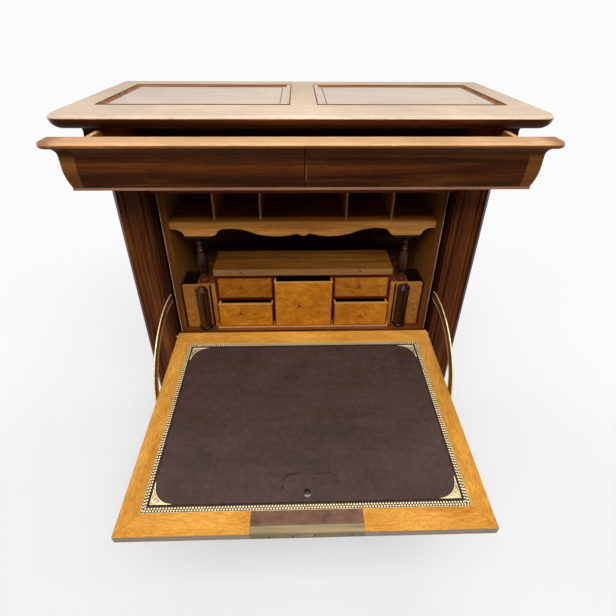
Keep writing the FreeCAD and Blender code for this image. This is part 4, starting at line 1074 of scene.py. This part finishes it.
# Camera, set so that the desk's edges fall on the photograph's; focal length and row are in pixels
IMAGE_SIZE = 616
FOCAL_LENGTH = 400.59
CENTRE_ROW = 233.39
SENSOR_WIDTH = 36
CAMERA_PLACE = (-0.0151, -0.9477, 1.6269)
PITCH, YAW, ROLL = (math.radians(angle) for angle in (29.059, -1.608, 0.429))


def add_camera():
    data = bpy.data.cameras.new("camera")
    data.sensor_width = SENSOR_WIDTH
    data.lens = SENSOR_WIDTH * FOCAL_LENGTH / IMAGE_SIZE
    data.shift_y = -(IMAGE_SIZE / 2 - CENTRE_ROW) / IMAGE_SIZE
    data.dof.use_dof = False
    level = math.cos(PITCH)
    forward = Vector((-math.sin(YAW) * level, math.cos(YAW) * level, -math.sin(PITCH)))
    right = Vector((math.cos(YAW), math.sin(YAW), 0))
    upward = right.cross(forward)
    tilted_right = right * math.cos(ROLL) + upward * math.sin(ROLL)
    tilted_up = upward * math.cos(ROLL) - right * math.sin(ROLL)
    turn = Matrix((tilted_right, tilted_up, -forward)).transposed().to_4x4()
    camera = add_object("camera", data)
    camera.matrix_world = Matrix.Translation(CAMERA_PLACE) @ turn
    bpy.context.scene.camera = camera


add_camera()


# Floor and surroundings: pale to the camera and in reflections, dimmer as a source of light on the desk
BACKDROP = tone(251, 251, 252)
FLOOR_HALF = 12
FLOOR_GLOW = 0.42
FLOOR_FADE_FROM, FLOOR_FADE_TO = 0.7, 2.6
FLOOR_SHADED = tone(176, 176, 177)
SKY_TINT, SKY_STRENGTH = (1.0, 0.97, 0.93, 1), 0.035


def floor_finish():
    """Near the desk the floor takes its shadow; further off it fades into the backdrop."""
    shader = Shader("floor")
    patches = shader.noise(shader.place, scale=3.0, detail=3, roughness=0.5)
    dim = shader.ramp(patches, [(0.3, tone(146, 144, 141)), (0.7, tone(152, 150, 148))])
    shader.dress({"Base Color": dim, "Roughness": 0.9})
    away = shader.add("ShaderNodeVectorMath", operation="LENGTH")
    shader.join(shader.place, away.inputs[0])
    far_off = shader.smooth_step(away.outputs["Value"], FLOOR_FADE_FROM, FLOOR_FADE_TO)
    glow = shader.add("ShaderNodeEmission")
    glow.inputs["Color"].default_value = BACKDROP
    strength = shader.math("ADD", FLOOR_GLOW, shader.math("MULTIPLY", far_off, 1.0 - FLOOR_GLOW))
    shader.join(strength, glow.inputs["Strength"])
    shaded = shader.add("ShaderNodeBsdfDiffuse")
    shader.join(shader.mix(far_off, FLOOR_SHADED, tone(0, 0, 0)), shaded.inputs["Color"])
    seen = shader.add("ShaderNodeAddShader")
    shader.join(glow.outputs[0], seen.inputs[0])
    shader.join(shaded.outputs[0], seen.inputs[1])
    blend = shader.mix_shaders(shader.seen_rays(), shader.surface, seen)
    shader.join(blend.outputs[0], shader.tree.nodes["Material Output"].inputs["Surface"])
    return shader.material


def add_floor():
    mesh = bpy.data.meshes.new("floor")
    corners = [(-1, -1), (1, -1), (1, 1), (-1, 1)]
    mesh.from_pydata([(FLOOR_HALF * x, FLOOR_HALF * y, 0) for x, y in corners], [], [(0, 1, 2, 3)])
    mesh.materials.append(floor_finish())
    floor = add_object("floor", mesh)


def add_surroundings():
    world = bpy.data.worlds.new("surroundings")
    bpy.context.scene.world = world
    world.use_nodes = True
    sky = Nodes(world.node_tree)
    light = sky.tree.nodes["Background"]
    light.inputs["Color"].default_value = SKY_TINT
    light.inputs["Strength"].default_value = SKY_STRENGTH
    backdrop = sky.add("ShaderNodeBackground")
    backdrop.inputs["Color"].default_value = BACKDROP
    either = sky.mix_shaders(sky.seen_rays(), light, backdrop)
    sky.join(either.outputs[0], sky.tree.nodes["World Output"].inputs["Surface"])


add_floor()
add_surroundings()


# Lamps: soft rectangles of light, with their size in metres and power in watts

def lamp(name, place, target, size, power):
    data = bpy.data.lights.new(name, "AREA")
    data.shape = "RECTANGLE"
    data.size, data.size_y = size
    data.energy = power
    item = add_object(name, data)
    item.location = place
    item.rotation_euler = (Vector(target) - Vector(place)).to_track_quat("-Z", "Y").to_euler()
    item.visible_camera = False


lamp("key", (0.05, -1.55, 3.0), (0, -0.1, 0.9), (1.8, 0.9), 92)
lamp("overhead", (0, -0.1, 3.6), (0, 0, 1.0), (1.6, 1.6), 20)
lamp("low_front", (0, -2.3, 1.0), (0, 0, 0.3), (1.4, 0.5), 4)
lamp("left_fill", (-2.6, 0.7, 1.2), (0, 0.2, 0.8), (1.4, 1.6), 30)
lamp("right_fill", (2.6, 0.7, 1.2), (0, 0.2, 0.8), (1.4, 1.6), 30)
lamp("back_fill", (0.5, 2.8, 0.9), (0, 0.3, 0.8), (2.0, 0.9), 34)

bpy.context.scene.view_settings.view_transform = "Standard"
